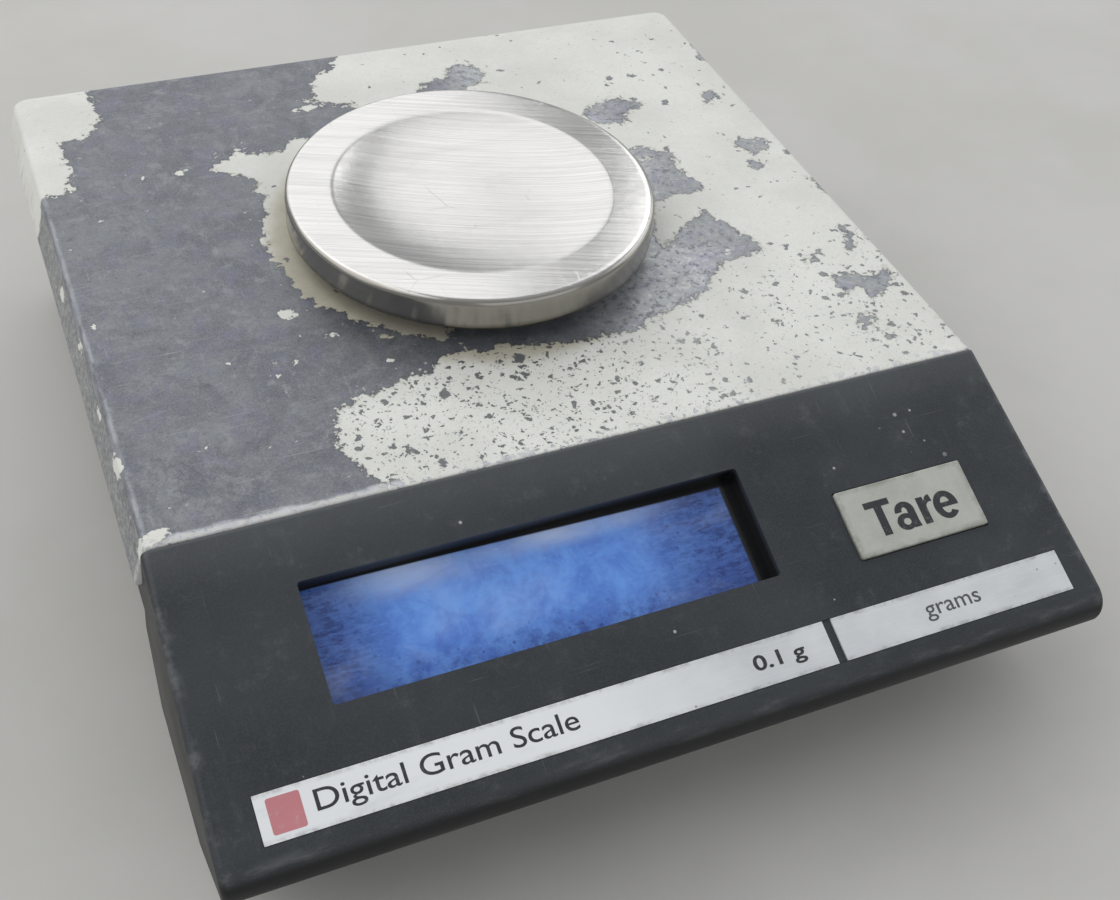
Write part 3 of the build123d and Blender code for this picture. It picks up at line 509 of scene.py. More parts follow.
    # bare steel under it: dull blue-grey, mottled, with hairline scratches
    mott = m.noise(58, 8, 0.68, dist=0.6)
    grain = m.noise(2100, 2, 0.6)
    steel = m.mix(m.step(mott, 0.35, 0.65), srgb(99, 102, 110), srgb(126, 129, 134))
    flecks = m.noise(270, 6, 0.72)
    steel = m.mix(m.step(flecks, 0.52, 0.68, 0.0, 0.60), steel, srgb(146, 150, 152))
    steel = m.mix(m.step(flecks, 0.46, 0.32, 0.0, 0.55), steel, srgb(86, 89, 98))
    tint = m.noise(150, 5, 0.65, dist=0.5)
    steel = m.mix(m.step(tint, 0.52, 0.66, 0.0, 0.55), steel, srgb(116, 116, 136))
    patch = m.noise(95, 6, 0.7, dist=0.8)
    steel = m.mix(m.step(patch, 0.52, 0.64, 0.0, 0.35), steel, srgb(148, 151, 152))
    steel = m.mix(m.step(patch, 0.44, 0.32, 0.0, 0.30), steel, srgb(88, 92, 98))
    steel = m.mix(m.step(grain, 0.44, 0.72, 0.0, 0.30), steel, srgb(160, 163, 165))
    steel = m.mix(m.step(m.noise(1150, 4, 0.75), 0.50, 0.70, 0.0, 0.34), steel, srgb(76, 79, 86))
    # right of the pan the metal is paler: partly a haze of what is left of the paint, partly painted light that
    # brightens the patch beside the pan
    drift = m.add(px, m.mul(m.sub(m.noise(40, 4, 0.6), 0.5), 0.02))
    haze_and_painted_light = m.mix(m.step(tint, 0.45, 0.62), srgb(188, 191, 194), srgb(181, 183, 196))
    haze_and_painted_light = m.mix(m.step(m.noise(640, 6, 0.82), 0.51, 0.58, 0.0, 0.80), haze_and_painted_light, srgb(218, 220, 216))
    haze_and_painted_light = m.mix(m.step(m.noise(470, 5, 0.78), 0.47, 0.40, 0.0, 0.75), haze_and_painted_light, srgb(112, 116, 121))
    steel = m.mix(m.mul(m.mul(m.step(drift, 0.004, 0.034), m.step(drift, 0.062, 0.050, 0.62, 1.0)), m.step(patch, 0.30, 0.62, 0.60, 0.95)), steel, haze_and_painted_light)
    scr1 = m.step(m.noise(1.0, 3, 0.5, vec=m.stretch(60, 2600, 60)), 0.66, 0.74)
    scr2 = m.step(m.noise(1.0, 3, 0.5, vec=m.stretch(2400, 70, 70)), 0.68, 0.76)
    scr = m.mx(m.mul(scr1, 0.30), m.mul(scr2, 0.24))
    steel = m.mix(scr, steel, srgb(192, 195, 198))
    # grime caught at the foot of the paint's edge
    foot = m.mul(m.step(field, -0.9, -0.05), m.inv(fieldmask))
    steel = m.mix(m.mul(foot, 0.45), steel, srgb(82, 84, 88))
    steel = m.mix(m.mul(m.mul(m.step(m.mx(big, small), -0.02, 0.12), fieldmask), 0.55), steel, srgb(118, 119, 116))

    # rubbed folds: the front edge, and the left-hand fold where the paint is gone
    wander = m.mul(m.sub(m.noise(1.0, 5, 0.7, vec=m.stretch(150, 300, 300)), 0.5), 3.4 * MM)
    front = m.step(m.add(py, wander), (Y_F + 2.9) * MM, (Y_F + 1.3) * MM)
    front = m.mul(front, m.step(m.noise(620, 5, 0.7), 0.34, 0.52, 0.25, 1.0))
    foldz = m.mul(m.step(pz, 0.0602, 0.0611), m.step(m.math("ABSOLUTE", px), 0.0984, 0.0992))
    foldz = m.mul(foldz, m.step(m.noise(1.0, 5, 0.65, vec=m.stretch(300, 90, 900)), 0.40, 0.62))
    rubbed = m.mx(m.mul(front, 0.9), m.mul(foldz, 0.32))
    steel = m.mix(m.mul(rubbed, 0.85), steel, srgb(208, 210, 216))
    barefold = m.mul(m.mul(front, m.step(m.noise(330, 4, 0.65), 0.5, 0.58)), 0.8)
    paint = m.mul(paint, m.inv(barefold))
    # the skirt: dust and runs of grime toward its lower edge
    low = m.step(pz, 0.0600, 0.0520)
    runs = m.noise(1.0, 4, 0.65, vec=m.stretch(420, 420, 60))
    cream = m.mix(m.mul(low, m.step(runs, 0.42, 0.75, 0.05, 0.45)), cream, srgb(140, 136, 122))
    steel = m.mix(m.mul(low, m.step(runs, 0.40, 0.70, 0.0, 0.5)), steel, srgb(168, 171, 172))

    colour = m.mix(paint, steel, cream)
    rough_p = m.step(clouds, 0.3, 0.7, 0.42, 0.58)
    rough_s = m.fmix(m.step(mott, 0.3, 0.7), 0.36, 0.52)
    rough_s = m.sub(rough_s, m.mul(rubbed, 0.12))
    m.set(Base_Color=colour,
          Roughness=m.fmix(paint, rough_s, rough_p),
          Metallic=m.mul(m.inv(paint), 0.42))
    m.b.inputs["Specular IOR Level"].default_value = 0.42
    # the paint stands proud of the steel
    h_edge = m.mul(m.step(field, -0.12, 0.35), m.inv(m.step(m.mx(big, small), -0.03, 0.07)))
    h_edge = m.mx(h_edge, m.step(chipfield, -0.1, 0.3))
    peel = m.noise(900, 3, 0.5)
    b1 = m.bump(m.add(m.mul(peel, m.mul(paint, 0.16)), m.mul(grain, m.mul(m.inv(paint), 0.10))), 0.00010, 0.55)
    b2 = m.bump(h_edge, 0.00016, 0.85, b1)
    b3 = m.bump(m.noise(11, 2, 0.5), 0.0006, 0.35, b2)
    m.set(Normal=b3)
    return m


# ---------------------------------------------------------------------------
# The pan: turned on its axis, brushed along X.
# ---------------------------------------------------------------------------
def build_pan():
    """Closed profile from the hub to the hem and back along the top."""
    T = PAN_TOP
    prof = [(0.0, T - 2.6)]
    top = []
    # upper surface from the centre outwards: a shallow bowl with a softened lip
    edge, lip, power = 35.3, 1.15, 3.1

    def bowl(r):
        z = -2.6 * (1 - (min(r, edge) / edge) ** power)
        if r > edge - lip:
            z0 = -2.6 * (1 - ((edge - lip) / edge) ** power)
            k0 = 2.6 * power / edge * ((edge - lip) / edge) ** (power - 1)
            h = lip + 0.85
            t = min(1.0, (r - edge + lip) / h)
            z = z0 * (2 * t ** 3 - 3 * t * t + 1) + k0 * h * (t ** 3 - 2 * t * t + t)
        return z
    for r in list(np.linspace(0.8, 34.0, 48)) + list(np.linspace(34.2, 36.1, 14)):
        top.append((r, T + bowl(r)))
    top.append((36.2, T))
    for r in np.linspace(37.4, PAN_R - 1.6, 9):
        top.append((r, T))
    for k in range(1, 9):
        a = math.pi / 2 * k / 8
        top.append((PAN_R - 1.6 + 1.6 * math.sin(a), T - 1.6 + 1.6 * math.cos(a)))
    for z in (T - 2.4, T - 3.6, T - 4.8, T - 6.0, T - 7.2, T - 7.75):
        top.append((PAN_R, z))
    top += [(PAN_R - 0.12, T - 7.93), (PAN_R - 0.34, T - 8.0), (PAN_R - 0.72, T - 7.97), (PAN_R - 0.95, T - 7.8)]
    top += [(PAN_R - 1.0, T - 6.5), (PAN_R - 1.0, T - 3.0), (PAN_R - 1.35, T - 1.45), (PAN_R - 2.2, T - 1.0)]
    top += [(40.0, T - 1.0), (36.5, T - 1.0), (34.2, T - 1.12), (32.4, T - 1.38), (30.6, T - 1.75), (28.4, T - 2.1),
            (22.0, T - 2.85), (14.0, T - 3.38), (9.6, T - 3.52), (9.05, T - 3.7), (9.0, T - 4.2), (9.0, 68.15),
            (8.75, 67.86), (8.4, 67.8), (5.5, 67.8), (5.14, 67.9), (5.06, 68.2), (5.06, 71.1), (4.9, 71.3), (0.9, 71.3)]
    prof += top
    n = 288
    a = np.arange(n) * 2 * math.pi / n
    verts, faces = [(0, PAN_Y * MM, prof[0][1] * MM)], []
    for r, z in prof[1:]:
        for t in a:
            verts.append((r * math.cos(t) * MM, (PAN_Y + r * math.sin(t)) * MM, z * MM))
    rows = len(prof) - 1
    for i in range(n):
        faces.append((0, 1 + i, 1 + (i + 1) % n))
    for r in range(rows - 1):
        for i in range(n):
            j = (i + 1) % n
            faces.append((1 + r * n + i, 1 + (r + 1) * n + i, 1 + (r + 1) * n + j, 1 + r * n + j))
    end = len(verts)
    verts.append((0, PAN_Y * MM, 71.3 * MM))
    base = 1 + (rows - 1) * n
    for i in range(n):
        faces.append((end, base + (i + 1) % n, base + i))
    ob = new_mesh("pan_brushed_dish", verts, faces)
    bm = bmesh.new()
    bm.from_mesh(ob.data)
    bmesh.ops.recalc_face_normals(bm, faces=bm.faces)
    bm.to_mesh(ob.data)
    bm.free()
    ob.data.shade_smooth()
    uv = ob.data.uv_layers.new(name="brush")
    co = np.zeros(len(ob.data.vertices) * 3, np.float32)
    ob.data.vertices.foreach_get("co", co)
    co = co.reshape(-1, 3)
    idx = np.zeros(len(ob.data.loops), np.int32)
    ob.data.loops.foreach_get("vertex_index", idx)
    gx, gy = co[idx, 0], co[idx, 1] - PAN_Y * MM
    gc, gs = math.cos(GRAIN), math.sin(GRAIN)
    flat = np.stack([(gy * gc - gx * gs) * 10 + 0.5, -(gx * gc + gy * gs) * 10 + 0.5], 1)
    wall = np.stack([co[idx, 2] * 10, np.arctan2(gy, gx) * 0.45 + 0.5], 1)
    on_wall = np.zeros(len(idx), bool)
    for p in ob.data.polygons:
        if abs(p.normal.z) < 0.6:
            on_wall[p.loop_start:p.loop_start + p.loop_total] = True
    flat[on_wall] = wall[on_wall]
    uv.data.foreach_set("uv", flat.astype(np.float32).ravel())
    return ob


def mat_pan():
    m = Mat("brushed_stainless", Metallic=1.0)
    px, py, pz = m.xyz(m.P)
    rx, ry = px, m.sub(py, PAN_Y * MM)
    rr = m.math("SQRT", m.add(m.mul(rx, rx), m.mul(ry, ry)))
    onside = m.step(rr, 0.0453, 0.0461)
    # the sheet's grain runs a little askew of the case
    gu = m.add(m.mul(px, math.cos(GRAIN)), m.mul(py, math.sin(GRAIN)))
    gv = m.sub(m.mul(py, math.cos(GRAIN)), m.mul(px, math.sin(GRAIN)))
    G = m.comb(gu, gv, pz)
    # long hairlines along X, in three finenesses
    l1 = m.noise(1.0, 4, 0.6, vec=m.stretch(24, 4200, 40, G))
    l2 = m.noise(1.0, 3, 0.55, vec=m.stretch(8, 900, 40, G))
    l3 = m.noise(1.0, 3, 0.6, vec=m.stretch(60, 9000, 40, G))
    ang = m.math("ARCTAN2", ry, rx)
    turned = m.noise(1.0, 4, 0.6, vec=m.comb(m.mul(m.math("SINE", ang), 3.0), m.mul(m.math("COSINE", ang), 3.0), m.mul(pz, 6200.0)))
    turned = m.fmix(0.45, turned, 0.5)
    lines = m.add(m.mul(l1, 0.5), m.add(m.mul(l2, 0.25), m.mul(l3, 0.25)))
    lines = m.fmix(onside, lines, turned)
    cloud = m.noise(30, 4, 0.6)
    smear = m.noise(1.0, 4, 0.6, vec=m.stretch(30, 110, 60), dist=1.0)
    base = m.mix(m.step(lines, 0.36, 0.64), srgb(192, 191, 189), srgb(224, 223, 221))
    base = m.mix(m.step(smear, 0.5, 0.78, 0.0, 0.12), base, srgb(180, 178, 173))
    # a few stray scratches that cross the brushing
    s1 = m.step(m.noise(1.0, 2, 0.5, vec=m.stretch(1900, 45, 45)), 0.735, 0.78)
    wv = m.vmath("ADD", m.P, m.vmath("SCALE", m.noise(18, 2, 0.5, color=True), scale=0.02))
    v = m.voronoi(62, wv, "DISTANCE_TO_EDGE")
    s2 = m.mul(m.step(v.outputs["Distance"], 0.010, 0.002), m.step(m.noise(45, 3, 0.6), 0.58, 0.66))
    scr = m.mul(m.mx(s1, s2), m.inv(onside))
    base = m.mix(m.mul(scr, 0.16), base, srgb(160, 158, 154))
    # the side wall is darkened all round, a painted reflection of dark surroundings; its foot is darker still, painted
    # shade with some dirt; and fine specks
    hem_shade_and_dirt = m.step(pz, 0.0692, 0.0674)
    base = m.mix(m.mul(onside, 0.72), base, srgb(132, 128, 118))
    base = m.mix(m.mul(hem_shade_and_dirt, m.mul(onside, 0.6)), base, srgb(84, 79, 68))
    spk = m.spots(430, 0.035, 0.05, 0.14)
    base = m.mix(m.mul(spk, 0.5), base, srgb(140, 134, 124))
    rough = m.add(m.step(lines, 0.3, 0.7, 0.14, 0.23), m.add(m.mul(m.step(smear, 0.45, 0.8), 0.05), m.mul(scr, 0.05)))
    m.set(Base_Color=base, Roughness=rough)
    m.b.inputs["Anisotropic"].default_value = 0.72
    tan = m.node("ShaderNodeTangent", direction_type="UV_MAP", uv_map="brush")
    m.put(m.b.inputs["Tangent"], tan.outputs["Tangent"])
    b = m.bump(lines, 0.000035, 0.6)
    b = m.bump(m.mul(scr, -1.0), 0.00003, 0.5, b)
    b = m.bump(cloud, 0.0004, 0.25, b)
    m.set(Normal=b)
    return m


# ---------------------------------------------------------------------------
# The bezel's charcoal moulding, and the black base.
# ---------------------------------------------------------------------------
def panel_coords(m):
    """x across, s down the slope and n out of it, in metres."""
    px, _, _ = m.xyz(m.P)
    o = Vector((0, Y_F * MM, Z_TOP * MM))
    s = m.sub(m.vmath("DOT_PRODUCT", m.P, (0, -CA, -SA)), float(o.dot(Vector((0, -CA, -SA)))))
    n = m.sub(m.vmath("DOT_PRODUCT", m.P, (0, -SA, CA)), float(o.dot(Vector((0, -SA, CA)))))
    return px, s, n


def mat_bezel():
    m = Mat("charcoal_moulding")
    px, s, n = panel_coords(m)
    _, py, pz = m.xyz(m.P)
    clouds = m.noise(26, 6, 0.62)
    grain = m.noise(2600, 2, 0.55)
    base = m.mix(m.step(clouds, 0.34, 0.68), srgb(44, 49, 54), srgb(54, 59, 64))
    base = m.mix(m.step(grain, 0.40, 0.70, 0.0, 0.38), base, srgb(72, 76, 80))
    face = m.step(n, -0.0006, -0.0001)
    # dust in soft smears, and a pale band near the cover that is part dust and part painted sheen
    dust = m.add(m.step(s, 0.014, -0.001, 0.0, 0.16), m.step(m.noise(130, 8, 0.78), 0.52, 0.78, 0.0, 0.20))
    streak = m.step(m.noise(1.0, 6, 0.72, vec=m.stretch(210, 60, 60)), 0.56, 0.80, 0.0, 0.12)
    dust = m.mul(m.add(dust, streak), face)
    base = m.mix(dust, base, srgb(138, 141, 142))
    # hairline scratches two ways and pale specks
    a = m.step(m.noise(1.0, 3, 0.5, vec=m.stretch(55, 2400, 2400)), 0.70, 0.77)
    b = m.step(m.noise(1.0, 3, 0.5, vec=m.stretch(2100, 60, 60)), 0.71, 0.78)
    scr = m.mul(m.mx(m.mul(a, 0.5), m.mul(b, 0.6)), face)
    base = m.mix(m.mul(scr, 0.6), base, srgb(128, 131, 134))
    spk = m.mul(m.spots(330, 0.030, 0.05, 0.16), face)
    # more chips by the upper right-hand corner of the panel
    cx = m.mul(m.sub(px, 0.079), 1.0)
    cs = m.sub(s, 0.016)
    rad = m.math("SQRT", m.add(m.mul(cx, cx), m.mul(m.mul(cs, cs), 2.0)))
    cl = m.mul(m.spots(400, 0.34, 0.06, 0.26), m.mul(m.step(rad, 0.017, 0.006), face))
    # the rounded nose and the side edges are rubbed
    nose = m.mul(m.step(s, 0.0650, 0.0675), m.step(s, 0.0735, 0.0695))
    rub = m.mul(nose, m.step(m.noise(1.0, 5, 0.65, vec=m.stretch(60, 260, 260)), 0.48, 0.70, 0.0, 0.32))
    side = m.mul(m.step(m.math("ABSOLUTE", px), 0.0985, 0.1008), m.step(n, -0.0035, -0.0008))
    rub = m.mx(rub, m.mul(side, m.step(m.noise(190, 5, 0.65), 0.46, 0.68, 0.0, 0.36)))
    top = m.mul(m.step(s, 0.0011, 0.0003), face)
    rub = m.mx(rub, m.mul(top, 0.30))
    base = m.mix(rub, base, srgb(132, 134, 136))
    base = m.mix(m.mul(m.mx(spk, cl), 0.8), base, srgb(188, 188, 182))
    # the chin looks down and is darkened by painted shade
    painted_underside_shade = m.step(pz, 0.0335, 0.0280)
    base = m.mix(m.mul(painted_underside_shade, 0.62), base, srgb(26, 28, 30))
    # faces set back behind the panel face, such as the walls of its recesses, are painted near black as shade
    base = m.mix(m.step(n, -0.0004, -0.0022, 0.0, 0.93), base, srgb(7, 7, 9))
    rough = m.add(m.step(clouds, 0.3, 0.7, 0.40, 0.52), m.mul(dust, 0.35))
    m.set(Base_Color=base, Roughness=rough)
    m.b.inputs["Specular IOR Level"].default_value = 0.42
    bb = m.bump(grain, 0.00008, 0.45)
    bb = m.bump(m.voronoi(1500).outputs["Distance"], 0.00005, 0.35, bb)
    bb = m.bump(m.mx(spk, cl), 0.0001, 0.4, bb)
    bb = m.bump(m.noise(9, 2, 0.5), 0.0008, 0.3, bb)
    m.set(Normal=bb)
    return m


def mat_base():
    m = Mat("black_base_moulding")
    _, _, pz = m.xyz(m.P)
    clouds = m.noise(30, 6, 0.62)
    grain = m.noise(2300, 2, 0.55)
    base = m.mix(m.step(clouds, 0.34, 0.68), srgb(34, 36, 38), srgb(50, 52, 55))
    base = m.mix(m.step(grain, 0.42, 0.72, 0.0, 0.35), base, srgb(66, 68, 71))
    dust = m.step(m.noise(1.0, 7, 0.74, vec=m.stretch(170, 170, 60)), 0.46, 0.78, 0.0, 0.20)
    dust = m.mx(dust, m.mul(m.step(pz, 0.014, 0.007), m.step(m.noise(310, 5, 0.7), 0.36, 0.66, 0.03, 0.16)))
    base = m.mix(dust, base, srgb(104, 105, 105))
    scuff = m.mul(m.step(m.noise(1.0, 4, 0.6, vec=m.stretch(120, 120, 1500)), 0.66, 0.75), 0.5)
    base = m.mix(scuff, base, srgb(104, 106, 108))
    m.set(Base_Color=base, Roughness=m.add(m.step(clouds, 0.3, 0.7, 0.46, 0.60), m.mul(dust, 0.3)))
    m.b.inputs["Specular IOR Level"].default_value = 0.42
    bb = m.bump(grain, 0.00012, 0.5)
    bb = m.bump(m.voronoi(1100).outputs["Distance"], 0.00008, 0.4, bb)
    m.set(Normal=bb)
    return m


def mat_window():
    """Tinted filter over the display: mottled blue, with dust and a painted reflection along its upper edge, and a
    faint painted glow.
    """
    m = Mat("blue_filter")
    px, s, n = panel_coords(m)
    x0, x1, s0, s1 = [v * MM for v in WIN]
    u = m.step(px, x0, x1)
    # mottled blue, deeper towards both ends
    mott = m.noise(110, 7, 0.72, dist=0.4)
    blotch = m.noise(330, 5, 0.7)
    ends = m.mx(m.step(px, x0 + 0.021, x0 + 0.004), m.step(px, x1 - 0.034, x1 - 0.008))
    dash = m.noise(1.0, 5, 0.7, vec=m.stretch(360, 1300, 1300))
    blue = m.mix(m.step(mott, 0.34, 0.66), srgb(75, 118, 203), srgb(101, 152, 229))
    blue = m.mix(m.step(dash, 0.50, 0.72, 0.0, 0.35), blue, srgb(120, 158, 220))
    deep = m.mix(m.step(blotch, 0.42, 0.60), srgb(18, 37, 100), srgb(54, 82, 149))
    deep = m.mix(m.step(dash, 0.44, 0.60, 0.0, 0.75), deep, srgb(66, 100, 170))
    blue = m.mix(m.mul(ends, 0.88), blue, deep)
    low = m.step(s, s1 - 0.011, s1 - 0.001)
    blue = m.mix(m.mul(low, m.step(blotch, 0.42, 0.66, 0.25, 0.85)), blue, srgb(46, 74, 152))
    spots = m.spots(620, 0.30, 0.10, 0.36)
    blue = m.mix(m.mul(spots, m.step(m.mx(ends, low), 0.1, 0.9, 0.10, 0.55)), blue, srgb(30, 50, 120))
    # whitish dust haze and painted reflection streaks along the upper edge, thickest a third of the way along
    hx = m.math("DIVIDE", m.sub(px, x0 + 0.022), 0.0095)
    peak = m.math("POWER", 2.718, m.mul(m.mul(hx, hx), -1.0))
    hy = m.math("DIVIDE", m.sub(px, x0 + 0.062), 0.017)
    peak2 = m.math("POWER", 2.718, m.mul(m.mul(hy, hy), -1.0))
    thin = m.step(m.add(s, m.mul(m.sub(mott, 0.5), 0.004)), s0 + 0.0068, s0 + 0.0022)
    hs = m.step(m.add(s, m.mul(m.sub(mott, 0.5), 0.006)), s0 + 0.0085, s0 + 0.0010)
    haze_and_painted_glare = m.mx(m.mul(hs, m.add(0.0, m.mul(peak, 0.66))), m.mul(thin, m.mul(peak2, 0.62)))
    haze_and_painted_glare = m.mul(haze_and_painted_glare, m.step(m.noise(1.0, 5, 0.6, vec=m.stretch(46, 130, 130)), 0.22, 0.62, 0.35, 1.0))
    wide = m.mul(m.step(m.noise(1.0, 4, 0.6, vec=m.stretch(40, 62, 62), dist=0.5), 0.48, 0.76), 0.13)
    haze_and_painted_glare = m.mn(m.add(haze_and_painted_glare, wide), 0.92)
    col = m.mix(haze_and_painted_glare, blue, srgb(214, 226, 246))
    # dark surround: a thin border printed on the inside of the filter, widened along the top and the right into painted
    # shadow from the recess edge
    e1 = m.step(m.sub(x1, px), 0.0036, 0.0030)
    e0 = m.step(m.sub(px, x0), 0.0006, 0.0002)
    et = m.step(m.sub(s, s0), m.fmix(u, 0.0006, 0.0021), m.fmix(u, 0.0002, 0.0016))
    eb = m.step(m.sub(s1, s), 0.0007, 0.0003)
    edge = m.mx(m.mx(e1, e0), m.mx(et, m.mul(eb, 0.7)))
    col = m.mix(edge, col, srgb(14, 15, 18))
    m.set(Base_Color=col, Roughness=m.add(m.step(mott, 0.3, 0.7, 0.14, 0.24), m.mul(haze_and_painted_glare, 0.35)))
    m.b.inputs["Specular IOR Level"].default_value = 0.5
    m.b.inputs["Coat Weight"].default_value = 0.35
    m.b.inputs["Coat Roughness"].default_value = 0.12
    scr = m.step(m.noise(1.0, 3, 0.5, vec=m.stretch(50, 2200, 2200)), 0.68, 0.76)
    b = m.bump(scr, 0.00003, 0.5)
    b = m.bump(m.noise(14, 3, 0.5), 0.0007, 0.25, b)
    m.set(Normal=b, Coat_Normal=b)
    # the filter glows faintly in its own colour: painted light, there is no lamp behind it
    m.put(m.b.inputs["Emission Color"], m.mix(edge, col, (0, 0, 0, 1)))
    m.b.inputs["Emission Strength"].default_value = 0.12
    return m


def mat_plain(name, dark, light, rough=(0.4, 0.55), metallic=0.0, grain=1800, bump=0.00008, stretch=None,
              wear=None, spots=None, spec=None, clouds=40):
    """General finish: two tones in clouds, fine grain, a little wear and dust, bump to match."""
    m = Mat(name, Metallic=metallic)
    vec = m.stretch(*stretch) if stretch else None
    c = m.noise(clouds, 6, 0.62)
    g = m.noise(1.0 if stretch else grain, 3, 0.6, vec=vec)
    col = m.mix(m.step(c, 0.34, 0.68), dark, light)
    col = m.mix(m.step(g, 0.40, 0.72, 0.0, 0.35), col, tuple(min(1.0, x * 1.45 + 0.02) for x in light[:3]) + (1,))
    if wear is not None:
        w = m.step(m.noise(190, 6, 0.68, dist=0.4), 0.55, 0.70, 0.0, 0.5)
        col = m.mix(w, col, wear)
    if spots is not None:
        col = m.mix(m.mul(m.spots(520, 0.12, 0.06, 0.22), 0.6), col, spots)
    m.set(Base_Color=col, Roughness=m.add(m.step(c, 0.3, 0.7, rough[0], rough[1]), m.mul(m.sub(g, 0.5), 0.12)))
    if spec is not None:
        m.b.inputs["Specular IOR Level"].default_value = spec
    m.set(Normal=m.bump(m.noise(clouds * 4, 3, 0.6), bump * 0.8, 0.3, m.bump(g, bump, 0.5)))
    return m


def mat_key():
    m = Mat("grey_key_moulding")
    px, s, n = panel_coords(m)
    c = m.noise(60, 6, 0.62)
    g = m.noise(2400, 2, 0.6)
    col = m.mix(m.step(c, 0.34, 0.68), srgb(176, 179, 171), srgb(192, 195, 188))
    col = m.mix(m.step(g, 0.42, 0.72, 0.0, 0.28), col, srgb(202, 204, 198))
    x0, x1, s0, s1 = [v * MM for v in KEY]
    edge = m.mx(m.mx(m.step(m.sub(px, x0), 0.0020, 0.0002), m.step(m.sub(x1, px), 0.0020, 0.0002)),
                m.mx(m.step(m.sub(s, s0), 0.0018, 0.0002), m.step(m.sub(s1, s), 0.0018, 0.0002)))
    grime = m.mul(edge, m.step(m.noise(260, 5, 0.65), 0.38, 0.66, 0.10, 0.60))
    col = m.mix(grime, col, srgb(120, 120, 110))
    # worn and greasy in the middle, where the finger lands
    cx, cs = m.sub(px, (KEY[0] + KEY[1]) / 2 * MM), m.sub(s, (KEY[2] + KEY[3]) / 2 * MM)
    rad = m.math("SQRT", m.add(m.mul(cx, cx), m.mul(m.mul(cs, cs), 2.4)))
    mid = m.step(rad, 0.013, 0.003)
    col = m.mix(m.mul(m.mul(mid, m.step(m.noise(150, 5, 0.6), 0.35, 0.7)), 0.30), col, srgb(150, 150, 138))
    sp = m.spots(600, 0.06, 0.06, 0.2)
    col = m.mix(m.mul(sp, 0.5), col, srgb(104, 104, 98))
    # faces set back behind the key's top, its sides in the aperture, are painted dark as shade
    col = m.mix(m.step(n, -0.0002, -0.0012, 0.0, 0.7), col, srgb(70, 71, 68))
    m.set(Base_Color=col, Roughness=m.sub(m.step(c, 0.3, 0.7, 0.46, 0.56), m.mul(mid, 0.14)))
    m.set(Normal=m.bump(m.noise(130, 3, 0.5), 0.00010, 0.25, m.bump(g, 0.00006, 0.45)))
    return m


def mat_label():
    m = Mat("printed_strip")
    px, s, n = panel_coords(m)
    c = m.noise(55, 6, 0.62)
    fine = m.noise(1.0, 3, 0.6, vec=m.stretch(110, 2600, 2600))
    col = m.mix(m.step(c, 0.34, 0.68), srgb(210, 214, 218), srgb(222, 226, 229))
    col = m.mix(m.step(fine, 0.42, 0.72, 0.0, 0.22), col, srgb(234, 237, 240))
    col = m.mix(m.step(px, 0.018, -0.030, 0.0, 0.85), col, srgb(246, 249, 251))
    s0, s1 = [v * MM for v in LABEL_S]
    e = m.mx(m.step(m.sub(s, s0), 0.0012, 0.0001), m.step(m.sub(s1, s), 0.0012, 0.0001))
    col = m.mix(m.mul(e, m.step(m.noise(300, 5, 0.65), 0.42, 0.66, 0.08, 0.55)), col, srgb(126, 127, 124))
    smudge = m.step(m.noise(1.0, 5, 0.62, vec=m.stretch(46, 110, 110), dist=0.6), 0.54, 0.78, 0.0, 0.22)
    col = m.mix(smudge, col, srgb(168, 170, 170))
    col = m.mix(m.mul(m.spots(520, 0.06, 0.06, 0.20), 0.55), col, srgb(108, 108, 104))
    m.set(Base_Color=col, Roughness=m.add(m.step(c, 0.3, 0.7, 0.30, 0.42), m.mul(smudge, 0.3)), Metallic=0.0)
    m.set(Normal=m.bump(m.noise(20, 3, 0.5), 0.0003, 0.3, m.bump(fine, 0.00002, 0.4)))
    return m


def mat_print(name, tone, fade):
    """Screen-printed ink, a little rubbed."""
    m = Mat(name)
    w = m.step(m.noise(620, 5, 0.7), 0.52, 0.72, 0.0, 0.45)
    col = m.mix(m.noise(90, 4, 0.6), tone, tuple(min(1, x * 1.3) for x in tone[:3]) + (1,))
    col = m.mix(w, col, fade)
    m.set(Base_Color=col, Roughness=m.step(m.noise(300, 3, 0.6), 0.3, 0.7, 0.42, 0.58))
    m.set(Normal=m.bump(m.noise(1800, 3, 0.6), 0.00003, 0.4))
    return m


